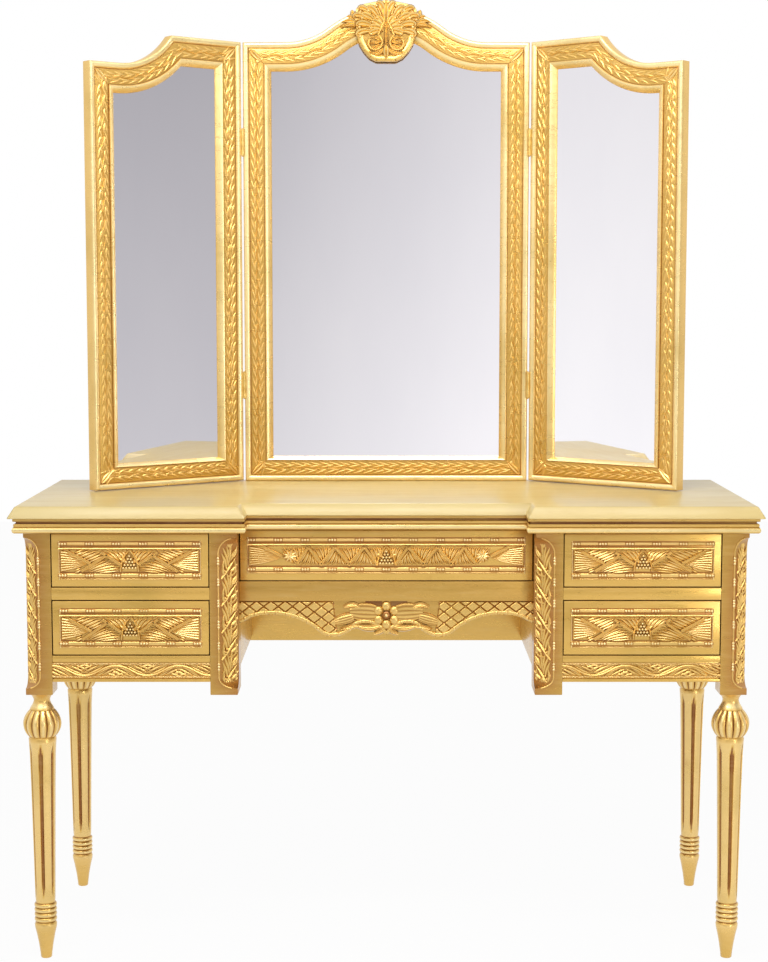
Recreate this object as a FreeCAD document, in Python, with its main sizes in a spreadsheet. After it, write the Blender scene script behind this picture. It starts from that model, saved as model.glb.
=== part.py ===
import FreeCAD, Part
import math
import os
import re
import Sketcher

# A gilt dressing table: two drawer pedestals on turned legs, a centre drawer over the knee-hole,
# a stone top with a stepped front, and a three-part mirror whose wings are hinged to its centre.
# Millimetres, +Z up, front towards -Y, origin on the floor under the middle of the whole table.

SIZES = [
    ("table_height", 780, "floor to the upper face of the stone"),
    ("stone_width", 1254, "overall width of the stone"),
    ("stone_depth", 465, "overall depth of the stone"),
    ("stone_thickness", 20, "thickness of the stone"),
    ("stone_edge_slope", 12, "how far the shown edges lean in towards the top"),
    ("front_overhang", 27.5, "stone past the front faces of the posts"),
    ("side_overhang", 22.5, "stone past the outer faces of the posts"),
    ("recess_overhang", 16, "stone past the knee posts into the recess"),
    ("recess_depth", 50, "set-back of the centre section"),
    ("cornice_height", 26, "height of the moulding under the stone"),
    ("cornice_projection", 14.5, "reach of the moulding at its top fillet"),
    ("cornice_foot", 13, "reach of the moulding beside its lower bead"),
    ("cornice_bead", 11, "height of the lower bead"),
    ("cornice_bead_curve", 6.6, "radius of the lower bead"),
    ("cornice_fillet", 6, "height of the top fillet"),
    ("cornice_groove", 3.5, "height of the groove under that fillet"),
    ("cornice_groove_reach", 9.5, "reach of the moulding in that groove"),
    ("post_size", 45, "side of the square posts"),
    ("post_drop", 22, "post below the underside of the case"),
    ("cant_size", 22, "width cut off the carved corners of the front legs' posts"),
    ("knee_cant_size", 29, "width cut off the carved corners of the knee-hole posts"),
    ("cant_margin", 10, "plain length left above and below the cut corner"),
    ("knee_width", 498, "clear width of the knee-hole between its posts"),
    ("knee_post_width", 46, "width of the knee-hole posts"),
    ("case_bottom_height", 482, "floor to the underside of the case"),
    ("upper_opening_height", 92, "height of the upper drawer openings"),
    ("divider_height", 21, "height of the rail between two drawers"),
    ("base_rail_height", 45, "height of the carved rail under the drawers"),
    ("centre_opening_height", 89, "height of the centre drawer opening"),
    ("centre_rail_height", 34, "height of the plain rail under the centre drawer"),
    ("rail_thickness", 20, "thickness of the front rails"),
    ("apron_thickness", 18, "thickness of the carved apron"),
    ("apron_centre_drop", 59, "apron depth at its middle leaf"),
    ("apron_notch_drop", 43, "apron depth beside the middle leaf"),
    ("apron_lobe_drop", 58, "apron depth at the two side lobes"),
    ("apron_arch_drop", 27, "apron depth at the top of its arches"),
    ("apron_end_drop", 38, "apron depth against the posts"),
    ("apron_notch_reach", 55, "middle to the shallow notch"),
    ("apron_lobe_reach", 107, "middle to the side lobe"),
    ("apron_arch_inset", 22, "post to the top of the arch"),
    ("apron_curve", 130, "radius of the long apron curves"),
    ("apron_leaf_curve", 42, "radius of the curves of the middle leaves"),
    ("panel_thickness", 12, "thickness of side, knee and back panels"),
    ("back_panel_drop", 8, "back panel below the underside of the case"),
    ("side_panel_setback", 4.5, "side panel behind the outer post faces"),
    ("knee_panel_setback", 6, "knee panel behind the knee post faces"),
    ("drawer_reveal", 1.5, "gap round a drawer front"),
    ("drawer_side_gap", 2, "gap beside a drawer box"),
    ("drawer_front_thickness", 20, "thickness of a drawer front"),
    ("drawer_back_gap", 45.5, "gap between a drawer and the back panel"),
    ("drawer_side_thickness", 10, "thickness of drawer sides and back"),
    ("drawer_side_drop", 14, "drawer sides below the top of the front"),
    ("drawer_bottom_thickness", 5, "thickness of a drawer bottom"),
    ("drawer_bottom_lift", 6, "drawer bottom above the lower edge of the sides"),
    ("frame_margin", 12, "plain border round the raised frame of a drawer front"),
    ("frame_bar", 10, "width of that raised frame"),
    ("frame_relief", 3, "height of that raised frame"),
    ("pull_width", 34, "width of the carved knot that serves as a pull"),
    ("pull_top_width", 13.6, "width of that knot at its top"),
    ("pull_height", 32, "height of that knot"),
    ("pull_relief", 9, "reach of that knot"),
    ("runner_width", 12, "width of the runner under a drawer side"),
    ("runner_thickness", 16, "thickness of a runner"),
    ("runner_guide_height", 15, "guide of a runner beside the drawer"),
    ("running_gap", 0.3, "gap between a drawer and its runner"),
    ("guide_gap", 0.7, "gap between a drawer and its guide"),
    ("leg_foot_radius", 9.5, "radius of the peg foot on the floor"),
    ("leg_ankle_radius", 17, "radius below and between the collars"),
    ("leg_foot_height", 52, "height of the tapered peg"),
    ("leg_collar_low", 64, "floor to the lowest collar"),
    ("leg_collar_high", 97, "floor to the top of the collars"),
    ("leg_collar_bulge", 2, "roundness of a collar"),
    ("leg_shaft_low_radius", 16.5, "radius of the shaft above the collars"),
    ("leg_shaft_high_radius", 22, "radius of the shaft under the bulb"),
    ("leg_bulb_low", 388, "floor to the underside of the bulb"),
    ("leg_bulb_high", 435, "floor to the top of the bulb"),
    ("leg_bulb_neck", 18, "radius of the bulb at its ends"),
    ("leg_bulb_radius", 32.5, "largest radius of the bulb"),
    ("leg_ring_height", 7, "height of the ring on the bulb"),
    ("leg_ring_bulge", 3, "roundness of that ring"),
    ("leg_neck_radius", 17, "radius of the neck under the post"),
    ("leg_neck_flare", 10, "height of the flare into the post"),
    ("flute_count", 6, "flutes round a leg"),
    ("flute_low", 115, "floor to the lower end of the flutes"),
    ("flute_high", 367, "floor to the upper end of the flutes"),
    ("flute_radius", 3.4, "radius of a flute at the top"),
    ("mirror_width", 528, "width of the centre mirror frame"),
    ("mirror_height", 810, "stone to the corner of the mirror frame"),
    ("mirror_thickness", 24, "thickness of the mirror frames"),
    ("stile_width", 52, "width of the mirror frame's upright and top members"),
    ("sill_height", 46, "height of the bottom member"),
    ("border_width", 13, "smooth outer border of the mirror frame"),
    ("band_width", 25, "sunk carved band of the mirror frame"),
    ("band_depth", 3, "depth of the sunk band"),
    ("rebate_width", 8, "rebate that holds the glass"),
    ("rebate_depth", 13, "depth of that rebate from the back"),
    ("glass_gap", 1, "gap round the glass in its rebate"),
    ("glass_thickness", 4, "thickness of the mirror glass"),
    ("backboard_thickness", 5, "thickness of the boards behind the glass"),
    ("edge_chamfer", 4, "cut along the front outer edge of the stiles"),
    ("ogee_reach", 185, "middle to the start of the top curve"),
    ("ogee_radius", 132, "radius of the hollow part of the top curve"),
    ("ogee_angle", 37.3, "steepest slope of the top curve, in degrees"),
    ("crest_half_width", 64, "middle to the side tips of the crest"),
    ("crest_curve", 75.4, "radius of the crest's upper curves"),
    ("crest_top_rise", 75.5, "crest above the frame's corner height"),
    ("crest_tip_rise", 40, "side tips above the frame's corner height"),
    ("crest_waist", 52, "half width of the crest at the frame"),
    ("crest_waist_drop", 2, "waist below the frame's corner height"),
    ("crest_lobe_drop", 36, "lowest point below the frame's corner height"),
    ("crest_thickness", 14, "thickness of the carved crest"),
    ("wing_width", 315.5, "width of a mirror wing"),
    ("wing_shoulder_drop", 56, "outer top edge below the inner one"),
    ("wing_curve_reach", 256, "hinge edge to the end of the top curve"),
    ("wing_angle", 38, "wing turned forward at rest, in degrees"),
    ("wing_clearance", 1.5, "wing above the stone"),
    ("seam_gap", 2, "gap between the centre frame and a wing"),
    ("hinge_height", 48, "length of a hinge"),
    ("hinge_low", 156, "stone to the lower hinge"),
    ("hinge_high", 604, "stone to the upper hinge"),
    ("hinge_leaf_width", 17, "width of a hinge leaf"),
    ("hinge_leaf_thickness", 0.8, "thickness of a hinge leaf"),
    ("knuckle_radius", 3.8, "outer radius of the hinge knuckles"),
    ("knuckle_proud", 1, "hinge axis in front of the frames"),
    ("knuckle_gap", 0.3, "gap between neighbouring knuckles"),
    ("pin_radius", 1.6, "radius of a hinge pin"),
    ("pin_clearance", 0.05, "radial play of a hinge pin"),
    ("pin_tip", 2, "pin standing past the knuckles"),
    ("batten_thickness", 15, "thickness of the battens that hold the mirror"),
    ("batten_width", 44, "width of those battens"),
    ("batten_below", 230, "batten below the stone's upper face"),
    ("batten_above", 330, "batten above the stone's upper face"),
    ("screw_radius", 2.2, "radius of a batten screw"),
    ("screw_head_radius", 4.5, "radius of its head"),
    ("screw_head_height", 2.5, "height of its head"),
    ("screw_bite", 9, "screw in the wood behind a batten"),
    ("screw_end_margin", 40, "batten end to the nearest screw"),
    ("screw_pitch", 90, "distance between two screws"),
]

doc = FreeCAD.newDocument("dressing_table")
dims = doc.addObject("Spreadsheet::Sheet", "dims")
for row, (alias, size, note) in enumerate(SIZES, start=1):
    dims.set(f"A{row}", note)
    dims.set(f"B{row}", str(size))
    dims.setAlias(f"B{row}", alias)
doc.recompute()
ALIASES = {alias for alias, size, note in SIZES}

# Levels and faces that several pieces share, as sums of the driving sizes.
BACK = "((stone_depth - batten_thickness)/2)"
FRONT = f"({BACK} - stone_depth + front_overhang)"
RECESS = f"({FRONT} + recess_depth)"
OUTER = "(stone_width/2 - side_overhang)"
POST_IN = f"({OUTER} - post_size)"
KNEE = "(knee_width/2)"
KNEE_OUT = f"({KNEE} + knee_post_width)"
KNEE_BACK = f"({RECESS} + rail_thickness)"
STONE_LOW = "(table_height - stone_thickness)"
CASE_TOP = f"({STONE_LOW} - cornice_height)"
POST_LOW = "(case_bottom_height - post_drop)"
UPPER_LOW = f"({CASE_TOP} - upper_opening_height)"
LOWER_TOP = f"({UPPER_LOW} - divider_height)"
LOWER_LOW = "(case_bottom_height + base_rail_height)"
CENTRE_LOW = f"({CASE_TOP} - centre_opening_height)"
APRON_TOP = f"({CENTRE_LOW} - centre_rail_height)"
SIDE_OUT = f"({OUTER} - side_panel_setback)"
SIDE_IN = f"({SIDE_OUT} - panel_thickness)"
KNEE_FACE = f"({KNEE} + knee_panel_setback)"
KNEE_IN = f"({KNEE_FACE} + panel_thickness)"
PANEL_FRONT = f"({BACK} - panel_thickness)"
CORNER = "(table_height + mirror_height)"
BAND_IN = "(border_width + band_width)"
HALF_MIRROR = "(mirror_width/2)"
SIGHT = f"({HALF_MIRROR} - stile_width)"
GLASS_EDGE = "(stile_width - rebate_width + glass_gap)"
GLASS_SILL = "(sill_height - rebate_width + glass_gap)"
CROWN_RADIUS = "(ogee_reach/sin(ogee_angle) - ogee_radius)"
WING_LOW = "(table_height + wing_clearance)"
HINGE_X = f"({HALF_MIRROR} + seam_gap/2)"
HINGE_Y = f"({BACK} - mirror_thickness - knuckle_proud)"


def bound(expression):
    def cell(match):
        word = match.group(0)
        return f"dims.{word}" if word in ALIASES else word
    return re.sub(r"[a-z_]+", cell, expression)


def number(expression):
    return float(dims.evalExpression(expression))


def seat(piece, x="0", y="0", z="0"):
    for axis, expression in zip("xyz", (x, y, z)):
        piece.setExpression(f"Placement.Base.{axis}", bound(expression))
    return piece


def across(side, near, far):
    if side > 0:
        return near, far
    return f"-({far})", f"-({near})"


def box(label, xs, ys, zs):
    piece = doc.addObject("Part::Box", label)
    for size, (low, high) in zip(("Length", "Width", "Height"), (xs, ys, zs)):
        piece.setExpression(size, bound(f"({high}) - ({low})"))
    return seat(piece, xs[0], ys[0], zs[0])


def group(label, pieces):
    piece = doc.addObject("Part::Compound", label)
    piece.Links = pieces
    return piece


def new_body(label):
    return doc.addObject("PartDesign::Body", label)


def rectangle(xs, ys):
    return [(xs[0], ys[0]), (xs[1], ys[0]), (xs[1], ys[1]), (xs[0], ys[1])]


def mirrored(path, side):
    return [(f"{side}*({corner[0]})", corner[1]) + tuple(
        part if index == 0 else side * part for index, part in enumerate(corner[2:]))
        for corner in path]


def arc_between(start, end, radius, turn):
    half = (end - start).Length / 2
    left = FreeCAD.Vector(start.y - end.y, end.x - start.x, 0).normalize()
    centre = (start + end) / 2 + left * turn * math.sqrt(radius**2 - half**2)
    first, last = (start, end) if turn > 0 else (end, start)
    angles = [math.atan2(point.y - centre.y, point.x - centre.x) for point in (first, last)]
    return Part.ArcOfCircle(Part.Circle(centre, FreeCAD.Vector(0, 0, 1), radius), *angles)


def flat_sketch(body, role, offset):
    sketch = body.newObject("Sketcher::SketchObject", "outline")
    plane = next(item for item in body.Origin.OriginFeatures if item.Role == role)
    sketch.AttachmentSupport = [(plane, "")]
    sketch.MapMode = "FlatFace"
    sketch.setExpression("AttachmentOffset.Base.z", bound(offset))
    return sketch


def tie(sketch, constraint, expression):
    index = sketch.addConstraint(constraint)
    sketch.setExpression(f"Constraints[{index}]", bound(expression))


# A corner is (x, y), or (x, y, radius, turn) where an arc leaves it: turn 1 is anticlockwise.
def outline(body, role, path, offset="0", closed=True):
    sketch = flat_sketch(body, role, offset)
    points = [FreeCAD.Vector(number(corner[0]), number(corner[1]), 0) for corner in path]
    count = len(path) if closed else len(path) - 1
    ends = []
    for index in range(count):
        corner, start, end = path[index], points[index], points[(index + 1) % len(path)]
        if len(corner) == 2:
            edge = sketch.addGeometry(Part.LineSegment(start, end))
            ends.append((edge, 1, 2))
        else:
            radius, turn = corner[2:]
            edge = sketch.addGeometry(arc_between(start, end, number(radius), turn))
            ends.append((edge, 1, 2) if turn > 0 else (edge, 2, 1))
            tie(sketch, Sketcher.Constraint("Radius", edge, number(radius)), radius)
    for index, corner in enumerate(path):
        edge, start, end = ends[index] if index < count else (ends[-1][0], ends[-1][2], None)
        if end and (closed or index + 1 < count):
            following = ends[(index + 1) % count]
            sketch.addConstraint(Sketcher.Constraint("Coincident", edge, end, following[0], following[1]))
        for kind, expression, place in zip(("DistanceX", "DistanceY"), corner, points[index]):
            tie(sketch, Sketcher.Constraint(kind, -1, 1, edge, start, place), expression)
    return sketch


def circle(body, role, x, y, radius, offset):
    sketch = flat_sketch(body, role, offset)
    place = FreeCAD.Vector(number(x), number(y), 0)
    edge = sketch.addGeometry(Part.Circle(place, FreeCAD.Vector(0, 0, 1), number(radius)))
    tie(sketch, Sketcher.Constraint("Radius", edge, number(radius)), radius)
    tie(sketch, Sketcher.Constraint("DistanceX", -1, 1, edge, 3, place.x), x)
    tie(sketch, Sketcher.Constraint("DistanceY", -1, 1, edge, 3, place.y), y)
    return sketch


def pad(body, sketch, length):
    feature = body.newObject("PartDesign::Pad", "pad")
    feature.Profile = sketch
    feature.setExpression("Length", bound(length))
    return feature


def pocket(body, sketch, depth, along_normal=False):
    feature = body.newObject("PartDesign::Pocket", "pocket")
    feature.Profile = sketch
    feature.setExpression("Length", bound(depth))
    feature.Reversed = along_normal
    return feature


# A plate drawn from the front: its rear face is at the body's own y of 0 and it grows forward.
def front_plate(label, path, thickness):
    body = new_body(label)
    pad(body, outline(body, "XZ_Plane", path), thickness)
    return body


# Stone, boards and cornice.

def stepped_plan(side_x, step_x, front_y, recess_y):
    return [
        (f"-({side_x})", front_y), (f"-({step_x})", front_y), (f"-({step_x})", recess_y),
        (step_x, recess_y), (step_x, front_y), (side_x, front_y)]


def closed_plan(side_x, step_x, front_y, recess_y):
    return stepped_plan(side_x, step_x, front_y, recess_y) + [(side_x, BACK), (f"-({side_x})", BACK)]


def make_stone_top():
    body = new_body("stone_top")
    front = f"{FRONT} - front_overhang"
    step = f"{KNEE} - recess_overhang"
    lower = closed_plan("stone_width/2", step, front, f"{front} + recess_depth")
    lean = "stone_edge_slope"
    upper = closed_plan(f"stone_width/2 - {lean}", f"{step} + {lean}",
                        f"{front} + {lean}", f"{front} + recess_depth + {lean}")
    loft = body.newObject("PartDesign::AdditiveLoft", "slab")
    loft.Profile = outline(body, "XY_Plane", lower)
    loft.Sections = [outline(body, "XY_Plane", upper, "stone_thickness")]
    loft.Ruled = True
    return seat(body, z=STONE_LOW)


def make_sub_top():
    body = new_body("sub_top")
    pad(body, outline(body, "XY_Plane", closed_plan(OUTER, KNEE, FRONT, RECESS)), "cornice_height")
    return seat(body, z=CASE_TOP)


def make_cornice():
    body = new_body("cornice_moulding")
    groove_top = "(cornice_height - cornice_fillet)"
    groove_low = f"({groove_top} - cornice_groove)"
    profile = [
        (f"-{OUTER}", "0"),
        (f"-{OUTER}", "cornice_height"),
        (f"-{OUTER} - cornice_projection", "cornice_height"),
        (f"-{OUTER} - cornice_projection", groove_top),
        (f"-{OUTER} - cornice_groove_reach", groove_top),
        (f"-{OUTER} - cornice_groove_reach", groove_low),
        (f"-{OUTER} - cornice_foot", groove_low),
        (f"-{OUTER} - cornice_foot", "cornice_bead", "cornice_bead_curve", 1),
        (f"-{OUTER} - cornice_foot", "0")]
    path = [(f"-{OUTER}", BACK)] + stepped_plan(OUTER, KNEE, FRONT, RECESS) + [(OUTER, BACK)]
    sweep = body.newObject("PartDesign::AdditivePipe", "moulding")
    sweep.Profile = outline(body, "XZ_Plane", profile, f"-{BACK}")
    sweep.Spine = (outline(body, "XY_Plane", path, closed=False), [])
    sweep.Transition = "Right corner"
    return seat(body, z=CASE_TOP)


# Legs: a square post over a turned, fluted shaft, about the body's own axis.
COLLARS = 4

def leg_profile():
    pitch = f"((leg_collar_high - leg_collar_low)/{COLLARS})"
    collar = f"(({pitch}/2)^2 + leg_collar_bulge^2)/(2*leg_collar_bulge)"
    bulge = "(leg_bulb_radius - leg_bulb_neck)"
    bulb = f"(((leg_bulb_high - leg_bulb_low)/2)^2 + {bulge}^2)/(2*{bulge})"
    ring = "((leg_ring_height/2)^2 + leg_ring_bulge^2)/(2*leg_ring_bulge)"
    ring_top = "(leg_bulb_high + leg_ring_height)"
    path = [("0", "0"), ("leg_foot_radius", "0"), ("leg_ankle_radius", "leg_foot_height")]
    path += [("leg_ankle_radius", f"leg_collar_low + {pitch}*{step}", collar, 1) for step in range(COLLARS)]
    path += [
        ("leg_ankle_radius", "leg_collar_high"),
        ("leg_shaft_low_radius", "leg_collar_high"),
        ("leg_shaft_high_radius", "leg_bulb_low - leg_ring_height"),
        ("leg_bulb_neck", "leg_bulb_low", bulb, 1),
        ("leg_bulb_neck", "leg_bulb_high", ring, 1),
        ("leg_bulb_neck", ring_top),
        ("leg_neck_radius", ring_top),
        ("leg_neck_radius", f"{POST_LOW} - leg_neck_flare"),
        ("leg_neck_radius + leg_ring_bulge", POST_LOW),
        ("0", POST_LOW)]
    return path


def shaft_radius(height):
    length = "(leg_bulb_low - leg_ring_height - leg_collar_high)"
    growth = "(leg_shaft_high_radius - leg_shaft_low_radius)"
    return f"(leg_shaft_low_radius + ({height} - leg_collar_high)*{growth}/{length})"


def cut_cant(body, x, y, across_x, size):
    corner = [(x, y), (f"{x} - {across_x}*{size}", y), (x, f"{y} + {size}")]
    sketch = outline(body, "XY_Plane", corner, f"{CASE_TOP} - cant_margin")
    pocket(body, sketch, f"{CASE_TOP} - case_bottom_height - 2*cant_margin")


def make_leg(label, side, y, canted):
    body = new_body(label)
    turning = body.newObject("PartDesign::Revolution", "turning")
    profile = outline(body, "XZ_Plane", leg_profile())
    turning.Profile = profile
    turning.ReferenceAxis = (profile, ["V_Axis"])
    half = "(post_size/2)"
    square = rectangle((f"-{half}", half), (f"-{half}", half))
    pad(body, outline(body, "XY_Plane", square, POST_LOW), f"{CASE_TOP} - {POST_LOW}")
    if canted:
        cut_cant(body, f"{side}*{half}", f"-{half}", side, "cant_size")
    flute = body.newObject("PartDesign::SubtractiveLoft", "flute")
    taper = f"{shaft_radius('flute_low')}/{shaft_radius('flute_high')}"
    low_y, high_y = f"-{shaft_radius('flute_low')}", f"-{shaft_radius('flute_high')}"
    flute.Profile = circle(body, "XY_Plane", "0", low_y, f"flute_radius*{taper}", "flute_low")
    flute.Sections = [circle(body, "XY_Plane", "0", high_y, "flute_radius", "flute_high")]
    flutes = body.newObject("PartDesign::PolarPattern", "flutes")
    flutes.Originals = [flute]
    flutes.Axis = (profile, ["V_Axis"])
    flutes.Angle = 360
    flutes.setExpression("Occurrences", bound("flute_count"))
    body.Tip = flutes
    return seat(body, f"{side}*({OUTER} - {half})", y)


def make_knee_post(label, side):
    body = new_body(label)
    section = mirrored(rectangle((KNEE, KNEE_OUT), (FRONT, KNEE_BACK)), side)
    pad(body, outline(body, "XY_Plane", section, POST_LOW), f"{CASE_TOP} - {POST_LOW}")
    cut_cant(body, f"{side}*{KNEE}", FRONT, -side, "knee_cant_size")
    return body


# Case: panels, rails, apron and runners.

def make_apron():
    half = KNEE
    arch = f"({half} - apron_arch_inset)"
    right = [
        (half, "-apron_end_drop"),
        (arch, "-apron_arch_drop", "apron_curve", 1),
        ("apron_lobe_reach", "-apron_lobe_drop", "apron_leaf_curve", -1),
        ("apron_notch_reach", "-apron_notch_drop", "apron_leaf_curve", 1)]
    left = [
        ("0", "-apron_centre_drop", "apron_leaf_curve", 1),
        ("-apron_notch_reach", "-apron_notch_drop", "apron_leaf_curve", -1),
        ("-apron_lobe_reach", "-apron_lobe_drop", "apron_curve", 1),
        (f"-{arch}", "-apron_arch_drop"),
        (f"-{half}", "-apron_end_drop")]
    body = front_plate("apron", [(f"-{half}", "0"), (half, "0")] + right + left, "apron_thickness")
    return seat(body, y=f"{RECESS} + apron_thickness", z=APRON_TOP)


def make_bottom_board(name, side):
    post_front, post_back = f"{FRONT} + post_size", f"{BACK} - post_size"
    plan = [
        (KNEE_OUT, f"{FRONT} + rail_thickness"), (POST_IN, f"{FRONT} + rail_thickness"),
        (POST_IN, post_front), (SIDE_IN, post_front), (SIDE_IN, post_back), (POST_IN, post_back),
        (POST_IN, PANEL_FRONT), (KNEE_IN, PANEL_FRONT), (KNEE_IN, KNEE_BACK), (KNEE_OUT, KNEE_BACK)]
    body = new_body(name)
    pad(body, outline(body, "XY_Plane", mirrored(plan, side)), "panel_thickness")
    return seat(body, z="case_bottom_height")


def make_runner(name, side, wall, drawer_side, level, front, back):
    inward = f"({drawer_side} - ({wall}))/abs({drawer_side} - ({wall}))"
    guide = f"{drawer_side} - {inward}*guide_gap"
    lip = f"{drawer_side} + {inward}*runner_width"
    top = f"({level} + drawer_reveal - running_gap)"
    section = [
        (wall, f"{top} - runner_thickness"), (lip, f"{top} - runner_thickness"), (lip, top),
        (guide, top), (guide, f"{top} + runner_guide_height"), (wall, f"{top} + runner_guide_height")]
    body = new_body(name)
    sketch = outline(body, "XZ_Plane", mirrored(section, side), f"-({back})")
    pad(body, sketch, f"({back}) - ({front})")
    return body


def make_case():
    pieces = []
    rear_y = f"{BACK} - post_size/2"
    front_y = f"{FRONT} + post_size/2"
    rail_back = f"{FRONT} + rail_thickness"
    dividers, base_rails, bottoms, runners = [], [], [], []
    for side, word in ((-1, "left"), (1, "right")):
        pieces += [
            make_leg(f"front_{word}_leg", side, front_y, True),
            make_leg(f"rear_{word}_leg", side, rear_y, False),
            make_knee_post(f"{word}_knee_post", side),
            box(f"{word}_side_panel", across(side, SIDE_IN, SIDE_OUT),
                (f"{FRONT} + post_size", f"{BACK} - post_size"), ("case_bottom_height", CASE_TOP)),
            box(f"{word}_knee_panel", across(side, KNEE_FACE, KNEE_IN),
                (KNEE_BACK, PANEL_FRONT), ("case_bottom_height", CASE_TOP))]
        opening = across(side, KNEE_OUT, POST_IN)
        dividers.append(box(f"{word}_divider", opening, (FRONT, rail_back), (LOWER_TOP, UPPER_LOW)))
        base_rails.append(box(f"{word}_base", opening, (FRONT, rail_back), ("case_bottom_height", LOWER_LOW)))
        bottoms.append(make_bottom_board(f"{word}_bottom", side))
        for level, name in ((UPPER_LOW, "upper"), (LOWER_LOW, "lower")):
            runners.append(make_runner(f"{word}_{name}_outer_runner", side, SIDE_IN,
                                       f"({POST_IN} - drawer_side_gap)", level,
                                       f"{FRONT} + post_size", f"{BACK} - post_size"))
            runners.append(make_runner(f"{word}_{name}_inner_runner", side, KNEE_IN,
                                       f"({KNEE_OUT} + drawer_side_gap)", level,
                                       KNEE_BACK, PANEL_FRONT))
        runners.append(make_runner(f"{word}_centre_runner", side, KNEE_FACE,
                                   f"({KNEE} - drawer_side_gap)", CENTRE_LOW,
                                   KNEE_BACK, PANEL_FRONT))
    pieces += [
        box("back_panel", (f"-{POST_IN}", POST_IN), (PANEL_FRONT, BACK),
            ("case_bottom_height - back_panel_drop", CASE_TOP)),
        box("centre_rail", (f"-{KNEE}", KNEE), (RECESS, KNEE_BACK), (APRON_TOP, CENTRE_LOW)),
        group("drawer_dividers", dividers),
        group("base_rails", base_rails),
        group("bottom_boards", bottoms),
        group("drawer_runners", runners),
        make_apron(), make_sub_top(), make_cornice(), make_stone_top()]
    return pieces


# Drawers: a carved front with its pull, a box of two sides and a back, and a bottom.

def make_drawer(name, xs, zs, front):
    low_x, high_x = f"({xs[0]} + drawer_reveal)", f"({xs[1]} - drawer_reveal)"
    low_z, high_z = f"({zs[0]} + drawer_reveal)", f"({zs[1]} - drawer_reveal)"
    middle_x, middle_z = f"(({xs[0]}) + ({xs[1]}))/2", f"(({zs[0]}) + ({zs[1]}))/2"
    face = front_plate(f"{name}_drawer_front", rectangle((low_x, high_x), (low_z, high_z)),
                       "drawer_front_thickness")
    for inset, feature, sink in (("frame_margin", pad, "frame_relief"),
                                 ("(frame_margin + frame_bar)", pocket, "frame_relief")):
        field = rectangle((f"{low_x} + {inset}", f"{high_x} - {inset}"),
                          (f"{low_z} + {inset}", f"{high_z} - {inset}"))
        level = "drawer_front_thickness" if feature is pad else "drawer_front_thickness + frame_relief"
        feature(face, outline(face, "XZ_Plane", field, level), sink)
    knot = [(f"{middle_x} - pull_width/2", f"{middle_z} - pull_height/2"),
            (f"{middle_x} + pull_width/2", f"{middle_z} - pull_height/2"),
            (f"{middle_x} + pull_top_width/2", f"{middle_z} + pull_height/2"),
            (f"{middle_x} - pull_top_width/2", f"{middle_z} + pull_height/2")]
    pad(face, outline(face, "XZ_Plane", knot, "drawer_front_thickness"), "pull_relief")
    box_front = f"({front} + drawer_front_thickness)"
    seat(face, y=box_front)
    box_back = f"({PANEL_FRONT} - drawer_back_gap)"
    out_low, out_high = f"({xs[0]} + drawer_side_gap)", f"({xs[1]} - drawer_side_gap)"
    in_low, in_high = f"({out_low} + drawer_side_thickness)", f"({out_high} - drawer_side_thickness)"
    rise = (low_z, f"{high_z} - drawer_side_drop")
    back_front = f"({box_back} - drawer_side_thickness)"
    walls = group(f"{name}_drawer_box", [
        box(f"{name}_side_a", (out_low, in_low), (box_front, box_back), rise),
        box(f"{name}_side_b", (in_high, out_high), (box_front, box_back), rise),
        box(f"{name}_back", (in_low, in_high), (back_front, box_back), rise)])
    floor_low = f"{low_z} + drawer_bottom_lift"
    floor = box(f"{name}_drawer_bottom", (in_low, in_high), (box_front, back_front),
                (floor_low, f"{floor_low} + drawer_bottom_thickness"))
    return [face, walls, floor]


def make_drawers():
    pieces = make_drawer("centre", (f"-{KNEE}", KNEE), (CENTRE_LOW, CASE_TOP), RECESS)
    for side, word in ((-1, "left"), (1, "right")):
        for level, zs in (("upper", (UPPER_LOW, CASE_TOP)), ("lower", (LOWER_LOW, LOWER_TOP))):
            pieces += make_drawer(f"{word}_{level}", across(side, KNEE_OUT, POST_IN), zs, FRONT)
    return pieces


# Mirror frames: each member is a plate with a sunk band in front and a rebate behind.

def finish_member(body, band, rebate):
    pocket(body, outline(body, "XZ_Plane", band, "mirror_thickness"), "band_depth")
    pocket(body, outline(body, "XZ_Plane", rebate), "rebate_depth", along_normal=True)
    return body


# The stile's outer edge is at x = edge, and inward is the direction of the glass.
def make_stile(label, edge, inward, low, top):
    def at(reach):
        return f"({edge} + {inward}*({reach}))"
    body = front_plate(label, rectangle((at("0"), at("stile_width")), (low, top)), "mirror_thickness")
    band_low, band_high = f"{low} + border_width", f"{top} - border_width"
    turn_low, turn_high = f"{low} + {BAND_IN}", f"{top} - {BAND_IN}"
    band = [
        (at("border_width"), band_low), (at("stile_width"), band_low), (at("stile_width"), turn_low),
        (at(BAND_IN), turn_low), (at(BAND_IN), turn_high), (at("stile_width"), turn_high),
        (at("stile_width"), band_high), (at("border_width"), band_high)]
    rebate = rectangle((at("stile_width - rebate_width"), at("stile_width")),
                       (f"{low} + sill_height - rebate_width", f"{top} - stile_width + rebate_width"))
    finish_member(body, band, rebate)
    corner = [(at("0"), "-mirror_thickness"), (at("edge_chamfer"), "-mirror_thickness"),
              (at("0"), "-mirror_thickness + edge_chamfer")]
    pocket(body, outline(body, "XY_Plane", corner, top), f"{top} - {low}")
    return body


def make_sill(label, xs, low):
    body = front_plate(label, rectangle(xs, (low, f"{low} + sill_height")), "mirror_thickness")
    band = rectangle(xs, (f"{low} + border_width", f"{low} + {BAND_IN}"))
    rebate = rectangle(xs, (f"{low} + sill_height - rebate_width", f"{low} + sill_height"))
    return finish_member(body, band, rebate)


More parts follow.
